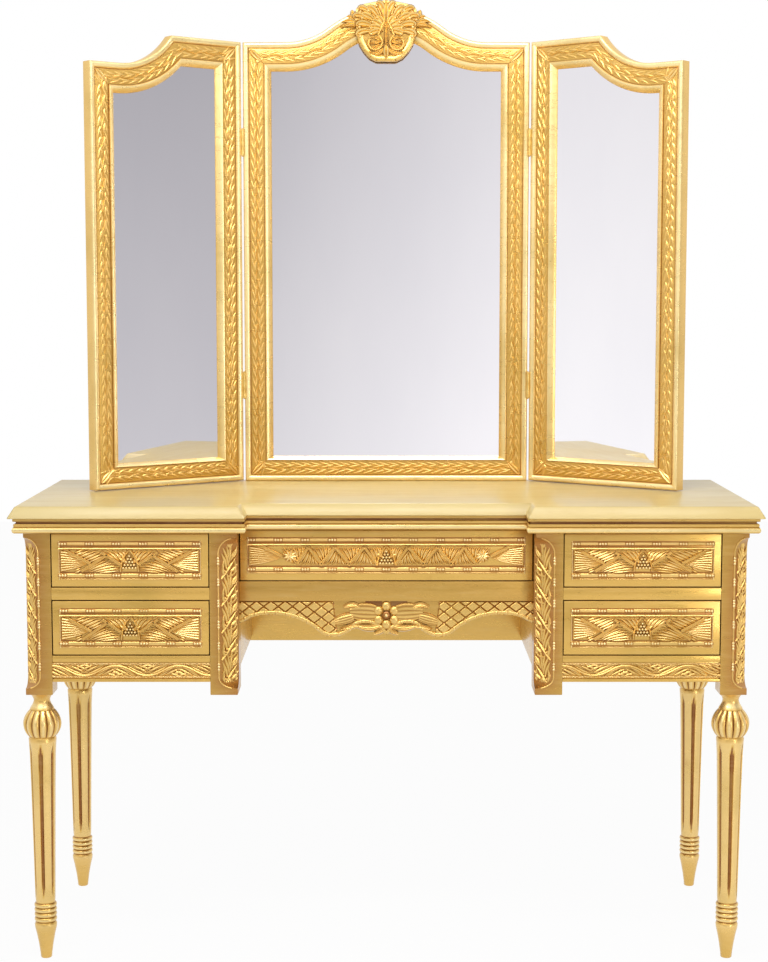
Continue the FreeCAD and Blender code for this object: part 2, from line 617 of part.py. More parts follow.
# The curve of the centre's top at a depth below its outer edge, from right to left.
def crown_curve(reach, depth):
    hollow, crown = f"(ogee_radius + {depth})", f"({CROWN_RADIUS} - {depth})"
    level = f"({CORNER} - {depth})"
    bend_x = f"(ogee_reach - {hollow}*sin(ogee_angle))"
    bend_z = f"({level} + {hollow}*(1 - cos(ogee_angle)))"
    return [
        (reach, level), ("ogee_reach", level, hollow, -1), (bend_x, bend_z, crown, 1),
        (f"-{bend_x}", bend_z, hollow, -1), ("-ogee_reach", level), (f"-({reach})", level)]


# The curve of a wing's top, from its outer side to its hinge side.
def wing_curve(near, far, depth):
    hollow = f"(ogee_radius + {depth})"
    high, low = f"({CORNER} - {depth})", f"({CORNER} - wing_shoulder_drop - {depth})"
    rise = f"({hollow} - wing_shoulder_drop)"
    bend = f"(wing_curve_reach + seam_gap/2 - sqrt({hollow}^2 - {rise}^2))"
    return [(far, low), ("wing_curve_reach + seam_gap/2", low, hollow, -1), (bend, high), (near, high)]


def backwards(path):
    turned = []
    for index in range(len(path) - 1, -1, -1):
        arc = path[index - 1][2:] if index else ()
        turned.append(path[index][:2] + ((arc[0], -arc[1]) if arc else ()))
    return turned


def band_between(curve, upper, lower):
    return curve(upper) + backwards(curve(lower))


def make_sheet(label, path, front_depth, thickness):
    body = new_body(label)
    sketch = outline(body, "XZ_Plane", path, f"mirror_thickness - {front_depth} - {thickness}")
    pad(body, sketch, thickness)
    return body


def make_panes(prefix, path):
    shoulder = "(mirror_thickness - rebate_depth)"
    return [make_sheet(f"{prefix}_glass", path, shoulder, "glass_thickness"),
            make_sheet(f"{prefix}_backboard", path, f"({shoulder} + glass_thickness)", "backboard_thickness")]


def make_top_rail(label, curve):
    body = front_plate(label, band_between(curve, "0", "stile_width"), "mirror_thickness")
    return finish_member(body, band_between(curve, "border_width", BAND_IN),
                         band_between(curve, "(stile_width - rebate_width)", "stile_width"))


def make_crest():
    lobe_depth = "(crest_lobe_drop - crest_waist_drop)"
    lobe = f"(crest_waist^2 + {lobe_depth}^2)/(2*{lobe_depth})"
    shield = [
        ("-crest_half_width", f"{CORNER} + crest_tip_rise"),
        ("-crest_waist", f"{CORNER} - crest_waist_drop", lobe, 1),
        ("0", f"{CORNER} - crest_lobe_drop", lobe, 1),
        ("crest_waist", f"{CORNER} - crest_waist_drop"),
        ("crest_half_width", f"{CORNER} + crest_tip_rise", "crest_curve", 1),
        ("0", f"{CORNER} + crest_top_rise", "crest_curve", 1)]
    body = front_plate("mirror_crest", shield, "crest_thickness")
    return seat(body, y=f"{BACK} - mirror_thickness")


def make_centre_mirror():
    pieces = [
        make_stile("mirror_left_stile", f"-{HALF_MIRROR}", 1, "table_height", CORNER),
        make_stile("mirror_right_stile", HALF_MIRROR, -1, "table_height", CORNER),
        make_sill("mirror_bottom_rail", (f"-{SIGHT}", SIGHT), "table_height"),
        make_top_rail("mirror_top_rail", lambda depth: crown_curve(SIGHT, depth))]
    reach = f"({HALF_MIRROR} - {GLASS_EDGE})"
    floor = f"table_height + {GLASS_SILL}"
    pane = [(f"-{reach}", floor), (reach, floor)] + crown_curve(reach, GLASS_EDGE)
    pieces += make_panes("mirror", pane)
    for piece in pieces:
        seat(piece, y=BACK)
    return pieces + [make_crest()]


# A wing is drawn flat beside the centre, about its hinge axis, and then turned forward.
def make_wing(word, side):
    def curve(near, far):
        return lambda depth: mirrored(wing_curve(near, far, depth), side)
    near, far = "(seam_gap/2)", "(seam_gap/2 + wing_width)"
    sight_near, sight_far = f"({near} + stile_width)", f"({far} - stile_width)"
    name = f"{word}_wing"
    low_shoulder = f"({CORNER} - wing_shoulder_drop)"
    stiles = group(f"{name}_stiles", [
        make_stile(f"{name}_inner_stile", f"({side}*{near})", side, WING_LOW, CORNER),
        make_stile(f"{name}_outer_stile", f"({side}*{far})", -side, WING_LOW, low_shoulder)])
    sill = make_sill(f"{name}_bottom_rail", (f"{side}*{sight_near}", f"{side}*{sight_far}"), WING_LOW)
    rail = make_top_rail(f"{name}_top_rail", curve(sight_near, sight_far))
    pane_near, pane_far = f"({near} + {GLASS_EDGE})", f"({far} - {GLASS_EDGE})"
    floor = f"{WING_LOW} + {GLASS_SILL}"
    pane = mirrored([(pane_near, floor), (pane_far, floor)], side) + curve(pane_near, pane_far)(GLASS_EDGE)
    pieces = [stiles, sill, rail] + make_panes(name, pane)
    for piece in stiles.Links + pieces[1:]:
        seat(piece, y="knuckle_proud + mirror_thickness")
    leaves = make_hinge_leaves(f"{name}_hinge_leaves", side, moving=True)
    return [turn_forward(piece, side) for piece in pieces + [leaves]]


def turn_forward(piece, side):
    holder = doc.addObject("Part::Compound", f"{piece.Label}_turned")
    holder.Links = piece.Links if piece.TypeId == "Part::Compound" else [piece]
    label, piece.Label = piece.Label, f"{piece.Label}_flat"
    holder.Label = label
    holder.Placement = FreeCAD.Placement(FreeCAD.Vector(), FreeCAD.Rotation(FreeCAD.Vector(0, 0, 1), 1))
    holder.setExpression("Placement.Rotation.Angle", bound(f"{-side}*wing_angle"))
    return seat(holder, f"{side}*{HINGE_X}", HINGE_Y)


# Hinges: the fixed leaf has the two end knuckles and the moving leaf the middle one.

def tube(name, low, high):
    outer = doc.addObject("Part::Cylinder", f"{name}_knuckle")
    outer.setExpression("Radius", bound("knuckle_radius"))
    outer.setExpression("Height", bound(f"({high}) - ({low})"))
    return seat(outer, z=low)


def make_leaf(name, side, low, moving):
    third = "(hinge_height/3)"
    middle = [(f"{low} + {third} + knuckle_gap/2", f"{low} + 2*{third} - knuckle_gap/2")]
    ends = [(low, f"{low} + {third} - knuckle_gap/2"),
            (f"{low} + 2*{third} + knuckle_gap/2", f"{low} + hinge_height")]
    zones = middle if moving else ends
    face = side if moving else -side
    plate_xs = across(face, "(seam_gap/2 - hinge_leaf_thickness)", "(seam_gap/2)")
    plate_start = "(knuckle_radius + knuckle_gap)"
    solids = [box(f"{name}_plate", plate_xs, (plate_start, f"{plate_start} + hinge_leaf_width"),
                  (low, f"{low} + hinge_height"))]
    for zone in zones:
        solids += [box(f"{name}_tab", plate_xs, ("0", plate_start), zone), tube(name, *zone)]
    joined = doc.addObject("Part::MultiFuse", f"{name}_joined")
    joined.Shapes = solids
    bore = doc.addObject("Part::Cylinder", f"{name}_bore")
    bore.setExpression("Radius", bound("pin_radius + pin_clearance"))
    bore.setExpression("Height", bound("hinge_height"))
    seat(bore, z=low)
    leaf = doc.addObject("Part::Cut", name)
    leaf.Base = joined
    leaf.Tool = bore
    return leaf


def make_hinge_leaves(label, side, moving):
    return group(label, [make_leaf(f"{label}_{name}", side, f"(table_height + {level})", moving)
                         for name, level in (("lower", "hinge_low"), ("upper", "hinge_high"))])


def make_pin(name, side, level):
    pin = doc.addObject("Part::Cylinder", name)
    pin.setExpression("Radius", bound("pin_radius"))
    pin.setExpression("Height", bound("hinge_height + 2*pin_tip"))
    return seat(pin, f"{side}*{HINGE_X}", HINGE_Y, f"table_height + {level} - pin_tip")


def make_fixed_hinges():
    leaves, pins = [], []
    for side, word in ((-1, "left"), (1, "right")):
        half = make_hinge_leaves(f"{word}_fixed_leaves", side, moving=False)
        leaves.append(seat(half, f"{side}*{HINGE_X}", HINGE_Y))
        pins += [make_pin(f"{word}_{level}_pin", side, level) for level in ("hinge_low", "hinge_high")]
    return [group("centre_hinge_leaves", leaves), group("hinge_pins", pins)]


# Battens and screws that hold the mirror to the back of the case.

def screw_heights():
    low, high = "(table_height - batten_below)", "(table_height + batten_above)"
    return [f"({low} + screw_end_margin)", f"({low} + screw_end_margin + screw_pitch)",
            f"({high} - screw_end_margin - screw_pitch)", f"({high} - screw_end_margin)"]


def make_screw(name, x, height):
    body = new_body(name)
    outer_face = f"-{BACK} - batten_thickness"
    shank = circle(body, "XZ_Plane", x, height, "screw_radius", f"{outer_face} + screw_head_height")
    pad(body, shank, "batten_thickness - screw_head_height + screw_bite")
    head = circle(body, "XZ_Plane", x, height, "screw_head_radius", outer_face)
    pad(body, head, "screw_head_height")
    return body


def make_batten(name, x):
    body = new_body(name)
    low, high = "table_height - batten_below", "table_height + batten_above"
    face = rectangle((f"{x} - batten_width/2", f"{x} + batten_width/2"), (low, high))
    pad(body, outline(body, "XZ_Plane", face, f"-{BACK} - batten_thickness"), "batten_thickness")
    for height in screw_heights():
        for radius, depth in (("screw_radius", "batten_thickness"),
                              ("screw_head_radius", "screw_head_height")):
            hole = circle(body, "XZ_Plane", x, height, radius, f"-{BACK} - batten_thickness")
            pocket(body, hole, depth, along_normal=True)
    return body


def make_mirror_supports():
    battens, screws = [], []
    for side, word in ((-1, "left"), (1, "right")):
        x = f"({side}*({HALF_MIRROR} - stile_width/2))"
        battens.append(make_batten(f"{word}_batten", x))
        screws += [make_screw(f"{word}_screw_{index}", x, height)
                   for index, height in enumerate(screw_heights())]
    return [group("mirror_battens", battens), group("batten_screws", screws)]


nodes = make_case() + make_drawers() + make_centre_mirror()
nodes += make_wing("left", -1) + make_wing("right", 1)
nodes += make_fixed_hinges() + make_mirror_supports()
doc.recompute()

failed = [item.Label for item in doc.Objects if {"Invalid", "Error"} & set(item.State)]
failed += [node.Label for node in nodes if node.Shape.isNull() or not node.Shape.isValid()]
if failed:
    raise RuntimeError(f"these pieces did not build: {failed}")
os.makedirs("parts", exist_ok=True)
for node in nodes:
    node.Shape.exportStep(f"parts/{node.Label}.step")
print(f"{len(nodes)} pieces written")
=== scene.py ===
import bpy
import bmesh
import math
from mathutils import Matrix, Vector


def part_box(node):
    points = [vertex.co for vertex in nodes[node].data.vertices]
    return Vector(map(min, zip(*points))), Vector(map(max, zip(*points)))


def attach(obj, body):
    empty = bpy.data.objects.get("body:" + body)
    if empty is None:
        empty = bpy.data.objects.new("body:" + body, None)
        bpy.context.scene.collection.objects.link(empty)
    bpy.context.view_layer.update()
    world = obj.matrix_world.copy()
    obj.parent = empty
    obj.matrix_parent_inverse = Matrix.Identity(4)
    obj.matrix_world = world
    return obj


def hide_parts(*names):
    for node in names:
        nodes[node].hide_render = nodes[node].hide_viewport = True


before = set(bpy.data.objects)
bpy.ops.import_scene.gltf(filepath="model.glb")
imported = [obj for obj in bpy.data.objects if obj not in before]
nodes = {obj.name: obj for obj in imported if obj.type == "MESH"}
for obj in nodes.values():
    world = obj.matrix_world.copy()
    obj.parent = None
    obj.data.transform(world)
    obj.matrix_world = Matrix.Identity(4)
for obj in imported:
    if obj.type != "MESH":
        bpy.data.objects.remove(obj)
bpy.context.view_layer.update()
mm = 0.001
front = Vector((0, -1, 0))  # the way the table faces
print("frame loaded:", len(nodes), "nodes")


# Materials

def newMaterial(name, metallic=0.0):
    material = bpy.data.materials.new(name)
    material.use_nodes = True
    tree = material.node_tree
    shader = tree.nodes["Principled BSDF"]
    shader.inputs["Metallic"].default_value = metallic
    return material, tree, shader


def link(tree, source, target):
    tree.links.new(source, target)


def colour(red, green, blue):
    def linear(value):
        value /= 255
        return value / 12.92 if value <= 0.04045 else ((value + 0.055) / 1.055) ** 2.4
    return (linear(red), linear(green), linear(blue), 1)


def ramp(tree, fac, stops):
    node = tree.nodes.new("ShaderNodeValToRGB")
    elements = node.color_ramp.elements
    while len(elements) < len(stops):
        elements.new(0.5)
    for element, (place, shade) in zip(elements, stops):
        element.position = place
        element.color = shade
    link(tree, fac, node.inputs["Fac"])
    return node.outputs["Color"]


def noise(tree, stretch, scale, detail=4, rough=0.55, twist=0.0):
    place = tree.nodes.new("ShaderNodeTexCoord")
    mapping = tree.nodes.new("ShaderNodeMapping")
    mapping.inputs["Scale"].default_value = stretch
    node = tree.nodes.new("ShaderNodeTexNoise")
    node.inputs["Scale"].default_value = scale
    node.inputs["Detail"].default_value = detail
    node.inputs["Roughness"].default_value = rough
    node.inputs["Distortion"].default_value = twist
    link(tree, place.outputs["Object"], mapping.inputs["Vector"])
    link(tree, mapping.outputs["Vector"], node.inputs["Vector"])
    return node.outputs["Fac"]


def mixColour(tree, fac, first, second):
    node = tree.nodes.new("ShaderNodeMix")
    node.data_type = "RGBA"
    for socket, value in (("Factor_Float", fac), ("A_Color", first), ("B_Color", second)):
        target = next(item for item in node.inputs if item.identifier == socket)
        if isinstance(value, (int, float, tuple)):
            target.default_value = value
        else:
            link(tree, value, target)
    return next(item for item in node.outputs if item.identifier == "Result_Color")


def remap(tree, value, low, high, toLow, toHigh):
    node = tree.nodes.new("ShaderNodeMapRange")
    for name, number in (("From Min", low), ("From Max", high), ("To Min", toLow), ("To Max", toHigh)):
        node.inputs[name].default_value = number
    link(tree, value, node.inputs["Value"])
    return node.outputs["Result"]


def bump(tree, shader, height, strength, distance):
    node = tree.nodes.new("ShaderNodeBump")
    node.inputs["Strength"].default_value = strength
    node.inputs["Distance"].default_value = distance
    link(tree, height, node.inputs["Height"])
    link(tree, node.outputs["Normal"], shader.inputs["Normal"])


def addCoat(shader, look):
    shader.inputs["Coat Weight"].default_value = look["coat"]
    shader.inputs["Coat Roughness"].default_value = look["coatRoughness"]


# The carving's depth runs the gilding from dark through gold to bright: painted shade in the hollows, painted
# highlights on the ridges
giltLook = {
    "dark": colour(122, 72, 26),     # shadowed bottom of the carving
    "boleAndPaintedShade": colour(178, 118, 54),    # red clay showing through where rubbed, and painted shade low in the carving
    # painted shade of flat gilding that lies in shade
    "shade": colour(200, 156, 74),
    "gold": colour(224, 180, 90),    # flat gilding
    # light and bright: painted highlights on the raised carving; bright also lightens the brush marks
    "light": colour(238, 198, 118),
    "bright": colour(252, 229, 166),
    "olive": colour(196, 160, 72),   # dull patches of the flat gilding
    "depths": {"dark": 0.0, "boleAndPaintedShade": 0.2, "shade": 0.33, "gold": 0.45, "light": 0.75, "bright": 1.0},
    "metallic": 0.75,
    "roughness": (0.24, 0.4),
    "coat": 0.4,
    "coatRoughness": 0.2,
    "patchScale": 7,
    "brush": (2.5, 9, 26),           # stretch of the brush marks
    "brushScale": 6,
    "rubScale": 34,
}


def makeGilding():
    look = giltLook
    material, tree, shader = newMaterial("water_gilding", look["metallic"])
    carveShading = tree.nodes.new("ShaderNodeAttribute")
    carveShading.attribute_name = "carveShading"
    # painted shade and highlight, picked by the carving's depth
    stops = [(depth, look[shade]) for shade, depth in look["depths"].items()]
    gold = ramp(tree, carveShading.outputs["Fac"], stops)
    patches = noise(tree, (1, 1, 1), look["patchScale"], 3)
    streaks = noise(tree, look["brush"], look["brushScale"], 6, 0.65)
    rubbed = noise(tree, (1, 1, 1), look["rubScale"], 5, 0.6)
    dull = mixColour(tree, remap(tree, patches, 0.48, 0.72, 0, 0.5), gold, look["olive"])
    brushed = mixColour(tree, remap(tree, streaks, 0.5, 0.75, 0, 0.12), dull, look["bright"])
    worn = mixColour(tree, remap(tree, rubbed, 0.62, 0.76, 0, 0.2), brushed, look["boleAndPaintedShade"])
    link(tree, worn, shader.inputs["Base Color"])
    link(tree, remap(tree, streaks, 0.3, 0.75, *look["roughness"]), shader.inputs["Roughness"])
    addCoat(shader, look)
    bump(tree, shader, rubbed, 0.06, 0.0006)
    return material


stoneLook = {
    "base": colour(213, 187, 120),
    "pale": colour(220, 198, 136),
    "vein": colour(198, 164, 99),
    "roughness": (0.3, 0.42),
    "coat": 0.12,
    "coatRoughness": 0.16,
}


def makeStone():
    look = stoneLook
    material, tree, shader = newMaterial("banded_stone")
    bands = noise(tree, (0.9, 6, 16), 2.6, 3, 0.5, 0.4)
    clouds = noise(tree, (1, 1.6, 1), 9, 5)
    veins = noise(tree, (1.0, 5, 12), 7, 8, 0.7, 1.4)
    body = mixColour(tree, remap(tree, bands, 0.36, 0.64, 0, 1), look["base"], look["pale"])
    body = mixColour(tree, remap(tree, clouds, 0.52, 0.7, 0, 0.16), body, look["vein"])
    body = mixColour(tree, remap(tree, veins, 0.6, 0.68, 0, 0.16), body, look["vein"])
    link(tree, body, shader.inputs["Base Color"])
    link(tree, remap(tree, veins, 0.4, 0.7, *look["roughness"]), shader.inputs["Roughness"])
    addCoat(shader, look)
    return material


mirrorLook = {
    "tints": (colour(250, 250, 252), colour(254, 254, 255)),
    "roughness": (0.012, 0.03),
}


def makeMirror():
    material, tree, shader = newMaterial("silvered_glass", 1.0)
    smears = noise(tree, (1, 1, 0.4), 5, 4)
    tint = mixColour(tree, remap(tree, smears, 0.35, 0.7, 0, 1), *mirrorLook["tints"])
    link(tree, tint, shader.inputs["Base Color"])
    link(tree, remap(tree, smears, 0.4, 0.7, *mirrorLook["roughness"]), shader.inputs["Roughness"])
    return material


woodLook = {
    "drawer": (colour(214, 180, 128), colour(176, 132, 80)),  # light and dark of the grain
    "back": (colour(150, 108, 66), colour(104, 68, 38)),
    "lengthways": 1.2,    # stretch of the grain
    "across": 22,
    "roughness": (0.5, 0.72),
}


def makeWood(name, kind, way):
    light, dark = woodLook[kind]
    material, tree, shader = newMaterial(name)
    stretch = tuple(woodLook["lengthways" if axis == way else "across"] for axis in "xyz")
    grain = noise(tree, stretch, 3, 7, 0.6, 0.35)
    pores = noise(tree, tuple(value * 5 for value in stretch), 6, 3)
    body = mixColour(tree, remap(tree, grain, 0.35, 0.68, 0, 1), light, dark)
    body = mixColour(tree, remap(tree, pores, 0.62, 0.75, 0, 0.5), body, dark)
    link(tree, body, shader.inputs["Base Color"])
    link(tree, remap(tree, grain, 0.3, 0.7, *woodLook["roughness"]), shader.inputs["Roughness"])
    bump(tree, shader, pores, 0.2, 0.0004)
    return material


metalLook = {  # bright, dull, roughness
    "hinge_brass": (colour(242, 210, 130), colour(214, 172, 92), 0.26),
    "screw_steel": (colour(176, 176, 178), colour(128, 126, 124), 0.34),
}


def makeMetal(name):
    bright, dull, roughness = metalLook[name]
    material, tree, shader = newMaterial(name, 1.0)
    stains = noise(tree, (1, 1, 1), 60, 4)
    stained = mixColour(tree, remap(tree, stains, 0.4, 0.7, 0, 1), bright, dull)
    link(tree, stained, shader.inputs["Base Color"])
    link(tree, remap(tree, stains, 0.3, 0.7, roughness, roughness + 0.18), shader.inputs["Roughness"])
    return material


gilding = makeGilding()
stone = makeStone()
mirror = makeMirror()
drawerWood = {way: makeWood(f"drawer_wood_{way}", "drawer", way) for way in "xy"}
backWood = makeWood("backing_wood", "back", "z")
brass = makeMetal("hinge_brass")
steel = makeMetal("screw_steel")
print("materials made")


# Shapes: every piece is gathered as points, faces and how deep each point lies in the carving, which the
# gilding turns into painted shade in the hollows and painted highlights on the ridges

class Carving:
    def __init__(self):
        self.points = []
        self.faces = []
        self.depth = []

    def add(self, points, faces, depth):
        start = len(self.points)
        self.points.extend(points)
        self.faces.extend([start + index for index in face] for face in faces)
        self.depth.extend(depth)

    def addMesh(self, mesh):
        depth = [item.value for item in mesh.attributes["carveShading"].data]
        points = [vertex.co.copy() for vertex in mesh.vertices]
        self.add(points, [list(face.vertices) for face in mesh.polygons], depth)

    def loft(self, rings, depth):  # depth has a value for each point of one ring, or of all rings
        count = len(rings[0])
        rows = len(rings)
        faces = []
        for row in range(rows - 1):
            low, high = row * count, (row + 1) * count
            for index in range(count):
                after = (index + 1) % count
                faces.append((low + index, low + after, high + after, high + index))
        faces.append(tuple(range(count)))
        faces.append(tuple(range((rows - 1) * count, rows * count)))
        points = [point for ring in rings for point in ring]
        self.add(points, faces, list(depth) * (len(points) // len(depth)))

    def board(self, low, high, edge=1.2 * mm, depth=0.45):
        shape = bmesh.new()
        bmesh.ops.create_cube(shape, size=1)
        size = Vector(high) - Vector(low)
        middle = (Vector(high) + Vector(low)) / 2
        for vertex in shape.verts:
            vertex.co = Vector(a * b for a, b in zip(vertex.co, size)) + middle
        bmesh.ops.bevel(shape, geom=shape.edges[:], offset=edge, segments=2, profile=0.5, affect="EDGES")
        shape.verts.index_update()
        faces = [[vertex.index for vertex in face.verts] for face in shape.faces]
        self.add([vertex.co.copy() for vertex in shape.verts], faces, [depth] * len(shape.verts))
        shape.free()

    def move(self, matrix):
        self.points = [matrix @ point for point in self.points]


def smooth(mesh):
    mesh.shade_smooth()
    mesh.set_sharp_from_angle(angle=math.radians(40))


def toMesh(name, carving):
    mesh = bpy.data.meshes.new(name)
    mesh.from_pydata(carving.points, [], carving.faces)
    mesh.attributes.new("carveShading", "FLOAT", "POINT").data.foreach_set("value", carving.depth)
    shape = bmesh.new()
    shape.from_mesh(mesh)
    bmesh.ops.recalc_face_normals(shape, faces=shape.faces[:])
    shape.to_mesh(mesh)
    shape.free()
    smooth(mesh)
    return mesh


def newObject(name, data):
    piece = bpy.data.objects.new(name, data)
    bpy.context.scene.collection.objects.link(piece)
    return piece


def finishPiece(name, mesh, material, body, node):
    mesh.materials.append(material)
    piece = newObject(name, mesh)
    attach(piece, body)
    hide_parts(node)
    return piece


def finishCarving(name, carving, body, node):
    return finishPiece(name, toMesh(name, carving), gilding, body, node)


def setFinish(node, finish):
    nodes[node].data.materials.clear()
    nodes[node].data.materials.append(finish)


# Strokes of the carver: a section drawn along a curved route on a panel
# a section point is (share of the half width, share of the height, depth in the carving, which sets its
# painted shade and highlight)

leafSection = [
    (-1.2, -0.3, 0), (-1, 0.1, 0.02), (-0.8, 0.7, 0.62), (-0.5, 1, 0.9), (-0.14, 0.8, 0.62), (0, 0.5, 0.26),
    (0.14, 0.8, 0.62), (0.5, 1, 0.9), (0.8, 0.7, 0.62), (1, 0.1, 0.02), (1.2, -0.3, 0)]
bladeSection = [
    (-1.3, -0.3, 0.05), (-1, 0.1, 0.07), (-0.64, 0.8, 0.68), (-0.15, 1, 0.95), (0.4, 0.85, 0.72),
    (1, 0.1, 0.07), (1.3, -0.3, 0.05)]
ribbonSection = [
    (-1.3, -0.3, 0), (-1.05, 0.2, 0.02), (-0.95, 0.8, 0.7), (-0.65, 1, 1), (-0.3, 0.75, 0.6),
    (0.3, 0.75, 0.6), (0.65, 1, 1), (0.95, 0.8, 0.7), (1.05, 0.2, 0.02), (1.3, -0.3, 0)]
reedSection = [
    (-1, -0.3, 0.2), (-0.95, 0.3, 0.45), (-0.6, 0.8, 0.85), (0, 1, 1), (0.6, 0.8, 0.85),
    (0.95, 0.3, 0.45), (1, -0.3, 0.2)]


def toned(section, low, share):
    return [(reach, rise, low + share * depth) for reach, rise, depth in section]


softBlade = toned(bladeSection, 0.1, 0.7)
vineSection = toned(bladeSection, 0.22, 0.5)
softReed = toned(reedSection, 0.2, 0.45)
# painted shade under the beads
darkBed = toned(reedSection, 0.12, 0.14)
barReed = toned(reedSection, 0.16, 0.62)


def along(points, share):
    points = [Vector(point) for point in points]
    while len(points) > 1:
        points = [first.lerp(second, share) for first, second in zip(points, points[1:])]
    return points[0]


def leafSwell(share):
    return 0.08 + 0.92 * math.sin(math.pi * min(1, share * 0.94 + 0.04) ** 0.75)


def fanSwell(share):
    return 0.2 + 0.8 * min(1, 1.3 * share)


def evenSwell(share):
    return 1.0


def lobeSwell(share):
    return 0.45 + 0.55 * math.sin(math.pi * min(1, 0.16 + 0.8 * share)) ** 0.7


def roundSwell(share):
    return max(0.15, math.sin(math.pi * (0.04 + 0.92 * share)) ** 0.4)


def stroke(carving, place, route, width, height, section=leafSection, swell=leafSwell, steps=9, base=0.0):
    rings = []
    for step in range(steps + 1):
        share = step / steps
        point = along(route, share)
        ahead = along(route, min(1, share + 0.02)) - along(route, max(0, share - 0.02))
        side = Vector((-ahead.y, ahead.x)).normalized()
        swelling = swell(share)
        ring = []
        for reach, rise, depth in section:
            spot = point + side * reach * width / 2 * swelling
            ring.append(place(spot.x, spot.y, base + rise * height * (0.35 + 0.65 * swelling)))
        rings.append(ring)
    carving.loft(rings, [depth for reach, rise, depth in section])


beadLevels = [  # share of the radius, share of the height, depth
    (1.0, -0.3, 0.1), (1.0, 0.2, 0.4), (0.8, 0.65, 0.9), (0.42, 0.93, 1.0), (0.1, 1.0, 1.0)]


def bead(carving, place, u, v, radius, height, sides=10, tone=1.0):
    turns = [2 * math.pi * index / sides for index in range(sides)]
    rings, depths = [], []
    for wide, rise, depth in beadLevels:
        reach = radius * wide
        spots = [(u + reach * math.cos(turn), v + reach * math.sin(turn)) for turn in turns]
        rings.append([place(*spot, height * rise) for spot in spots])
        depths += [depth * tone] * sides
    carving.loft(rings, depths)


def frontPanel(x, y, z):
    def place(u, v, h):
        return Vector((x + u, y - h, z + v))
    return place


# Repeats along a path: one node tree sets copies of a small carving along the edges of a path mesh

def makeRunTree():
    tree = bpy.data.node_groups.new("run_along_path", "GeometryNodeTree")
    for name, kind in (("Path", "Geometry"), ("Pitch", "Float"), ("Item", "Object"), ("Lean", "Float"),
                       ("Aside", "Float"), ("Finish", "Material")):
        tree.interface.new_socket(name, in_out="INPUT", socket_type="NodeSocket" + kind)
    tree.interface.new_socket("Run", in_out="OUTPUT", socket_type="NodeSocketGeometry")
    made = tree.nodes.new
    given = made("NodeGroupInput")
    result = made("NodeGroupOutput")
    curve = made("GeometryNodeMeshToCurve")
    spread = made("GeometryNodeResampleCurve")
    spread.mode = "LENGTH"
    tangent = made("GeometryNodeInputTangent")
    index = made("GeometryNodeInputIndex")
    parity = made("ShaderNodeMath")
    parity.operation = "MODULO"
    parity.inputs[1].default_value = 2
    sign = made("ShaderNodeMapRange")  # every second copy leans and steps aside the other way
    sign.inputs["To Min"].default_value = -1
    facing = made("FunctionNodeAlignRotationToVector")
    facing.axis = "Z"
    facing.inputs["Vector"].default_value = front
    heading = made("FunctionNodeAlignRotationToVector")
    heading.axis = "X"
    heading.pivot_axis = "Z"
    lean = made("ShaderNodeMath")
    lean.operation = "MULTIPLY"
    turn = made("FunctionNodeAxisAngleToRotation")
    turn.inputs["Axis"].default_value = (0, 0, 1)
    leaned = made("FunctionNodeRotateRotation")
    leaned.rotation_space = "LOCAL"
    across = made("ShaderNodeVectorMath")
    across.operation = "CROSS_PRODUCT"
    across.inputs[0].default_value = front
    shift = made("ShaderNodeVectorMath")
    shift.operation = "SCALE"
    aside = made("ShaderNodeMath")
    aside.operation = "MULTIPLY"
    moved = made("GeometryNodeSetPosition")
    item = made("GeometryNodeObjectInfo")
    copies = made("GeometryNodeInstanceOnPoints")
    real = made("GeometryNodeRealizeInstances")
    finish = made("GeometryNodeSetMaterial")
    for source, output, target, socket in (
            (given, "Path", curve, "Mesh"), (curve, "Curve", spread, "Curve"),
            (given, "Pitch", spread, "Length"), (index, "Index", parity, 0), (parity, 0, sign, "Value"),
            (facing, "Rotation", heading, "Rotation"), (tangent, "Tangent", heading, "Vector"),
            (given, "Lean", lean, 0), (sign, "Result", lean, 1), (lean, 0, turn, "Angle"),
            (heading, "Rotation", leaned, "Rotation"), (turn, "Rotation", leaned, "Rotate By"),
            (tangent, "Tangent", across, 1), (across, "Vector", shift, 0), (given, "Aside", aside, 0),
            (sign, "Result", aside, 1), (aside, 0, shift, "Scale"), (spread, "Curve", moved, "Geometry"),
            (shift, "Vector", moved, "Offset"), (moved, "Geometry", copies, "Points"),
            (given, "Item", item, "Object"), (item, "Geometry", copies, "Instance"),
            (leaned, "Rotation", copies, "Rotation"), (copies, "Instances", real, "Geometry"),
            (real, "Geometry", finish, "Geometry"), (given, "Finish", finish, "Material"),
            (finish, "Geometry", result, "Run")):
        tree.links.new(source.outputs[output], target.inputs[socket])
    return tree


runTree = makeRunTree()
runSockets = {item.name: item.identifier for item in runTree.interface.items_tree if item.in_out == "INPUT"}


def addRun(carving, path, item, pitch, lean=0.0, aside=0.0):
    mesh = bpy.data.meshes.new("path")
    mesh.from_pydata(path, [(index, index + 1) for index in range(len(path) - 1)], [])
    route = newObject("path", mesh)
    modifier = route.modifiers.new("run", "NODES")
    modifier.node_group = runTree
    given = {"Pitch": pitch, "Item": item, "Lean": lean, "Aside": aside, "Finish": gilding}
    for name, value in given.items():
        modifier[runSockets[name]] = value
    bpy.context.view_layer.update()
    made = bpy.data.meshes.new_from_object(route.evaluated_get(bpy.context.evaluated_depsgraph_get()))
    carving.addMesh(made)
    bpy.data.objects.remove(route)
    bpy.data.meshes.remove(made)


def flatPlace(u, v, h):
    return Vector((u, v, h))


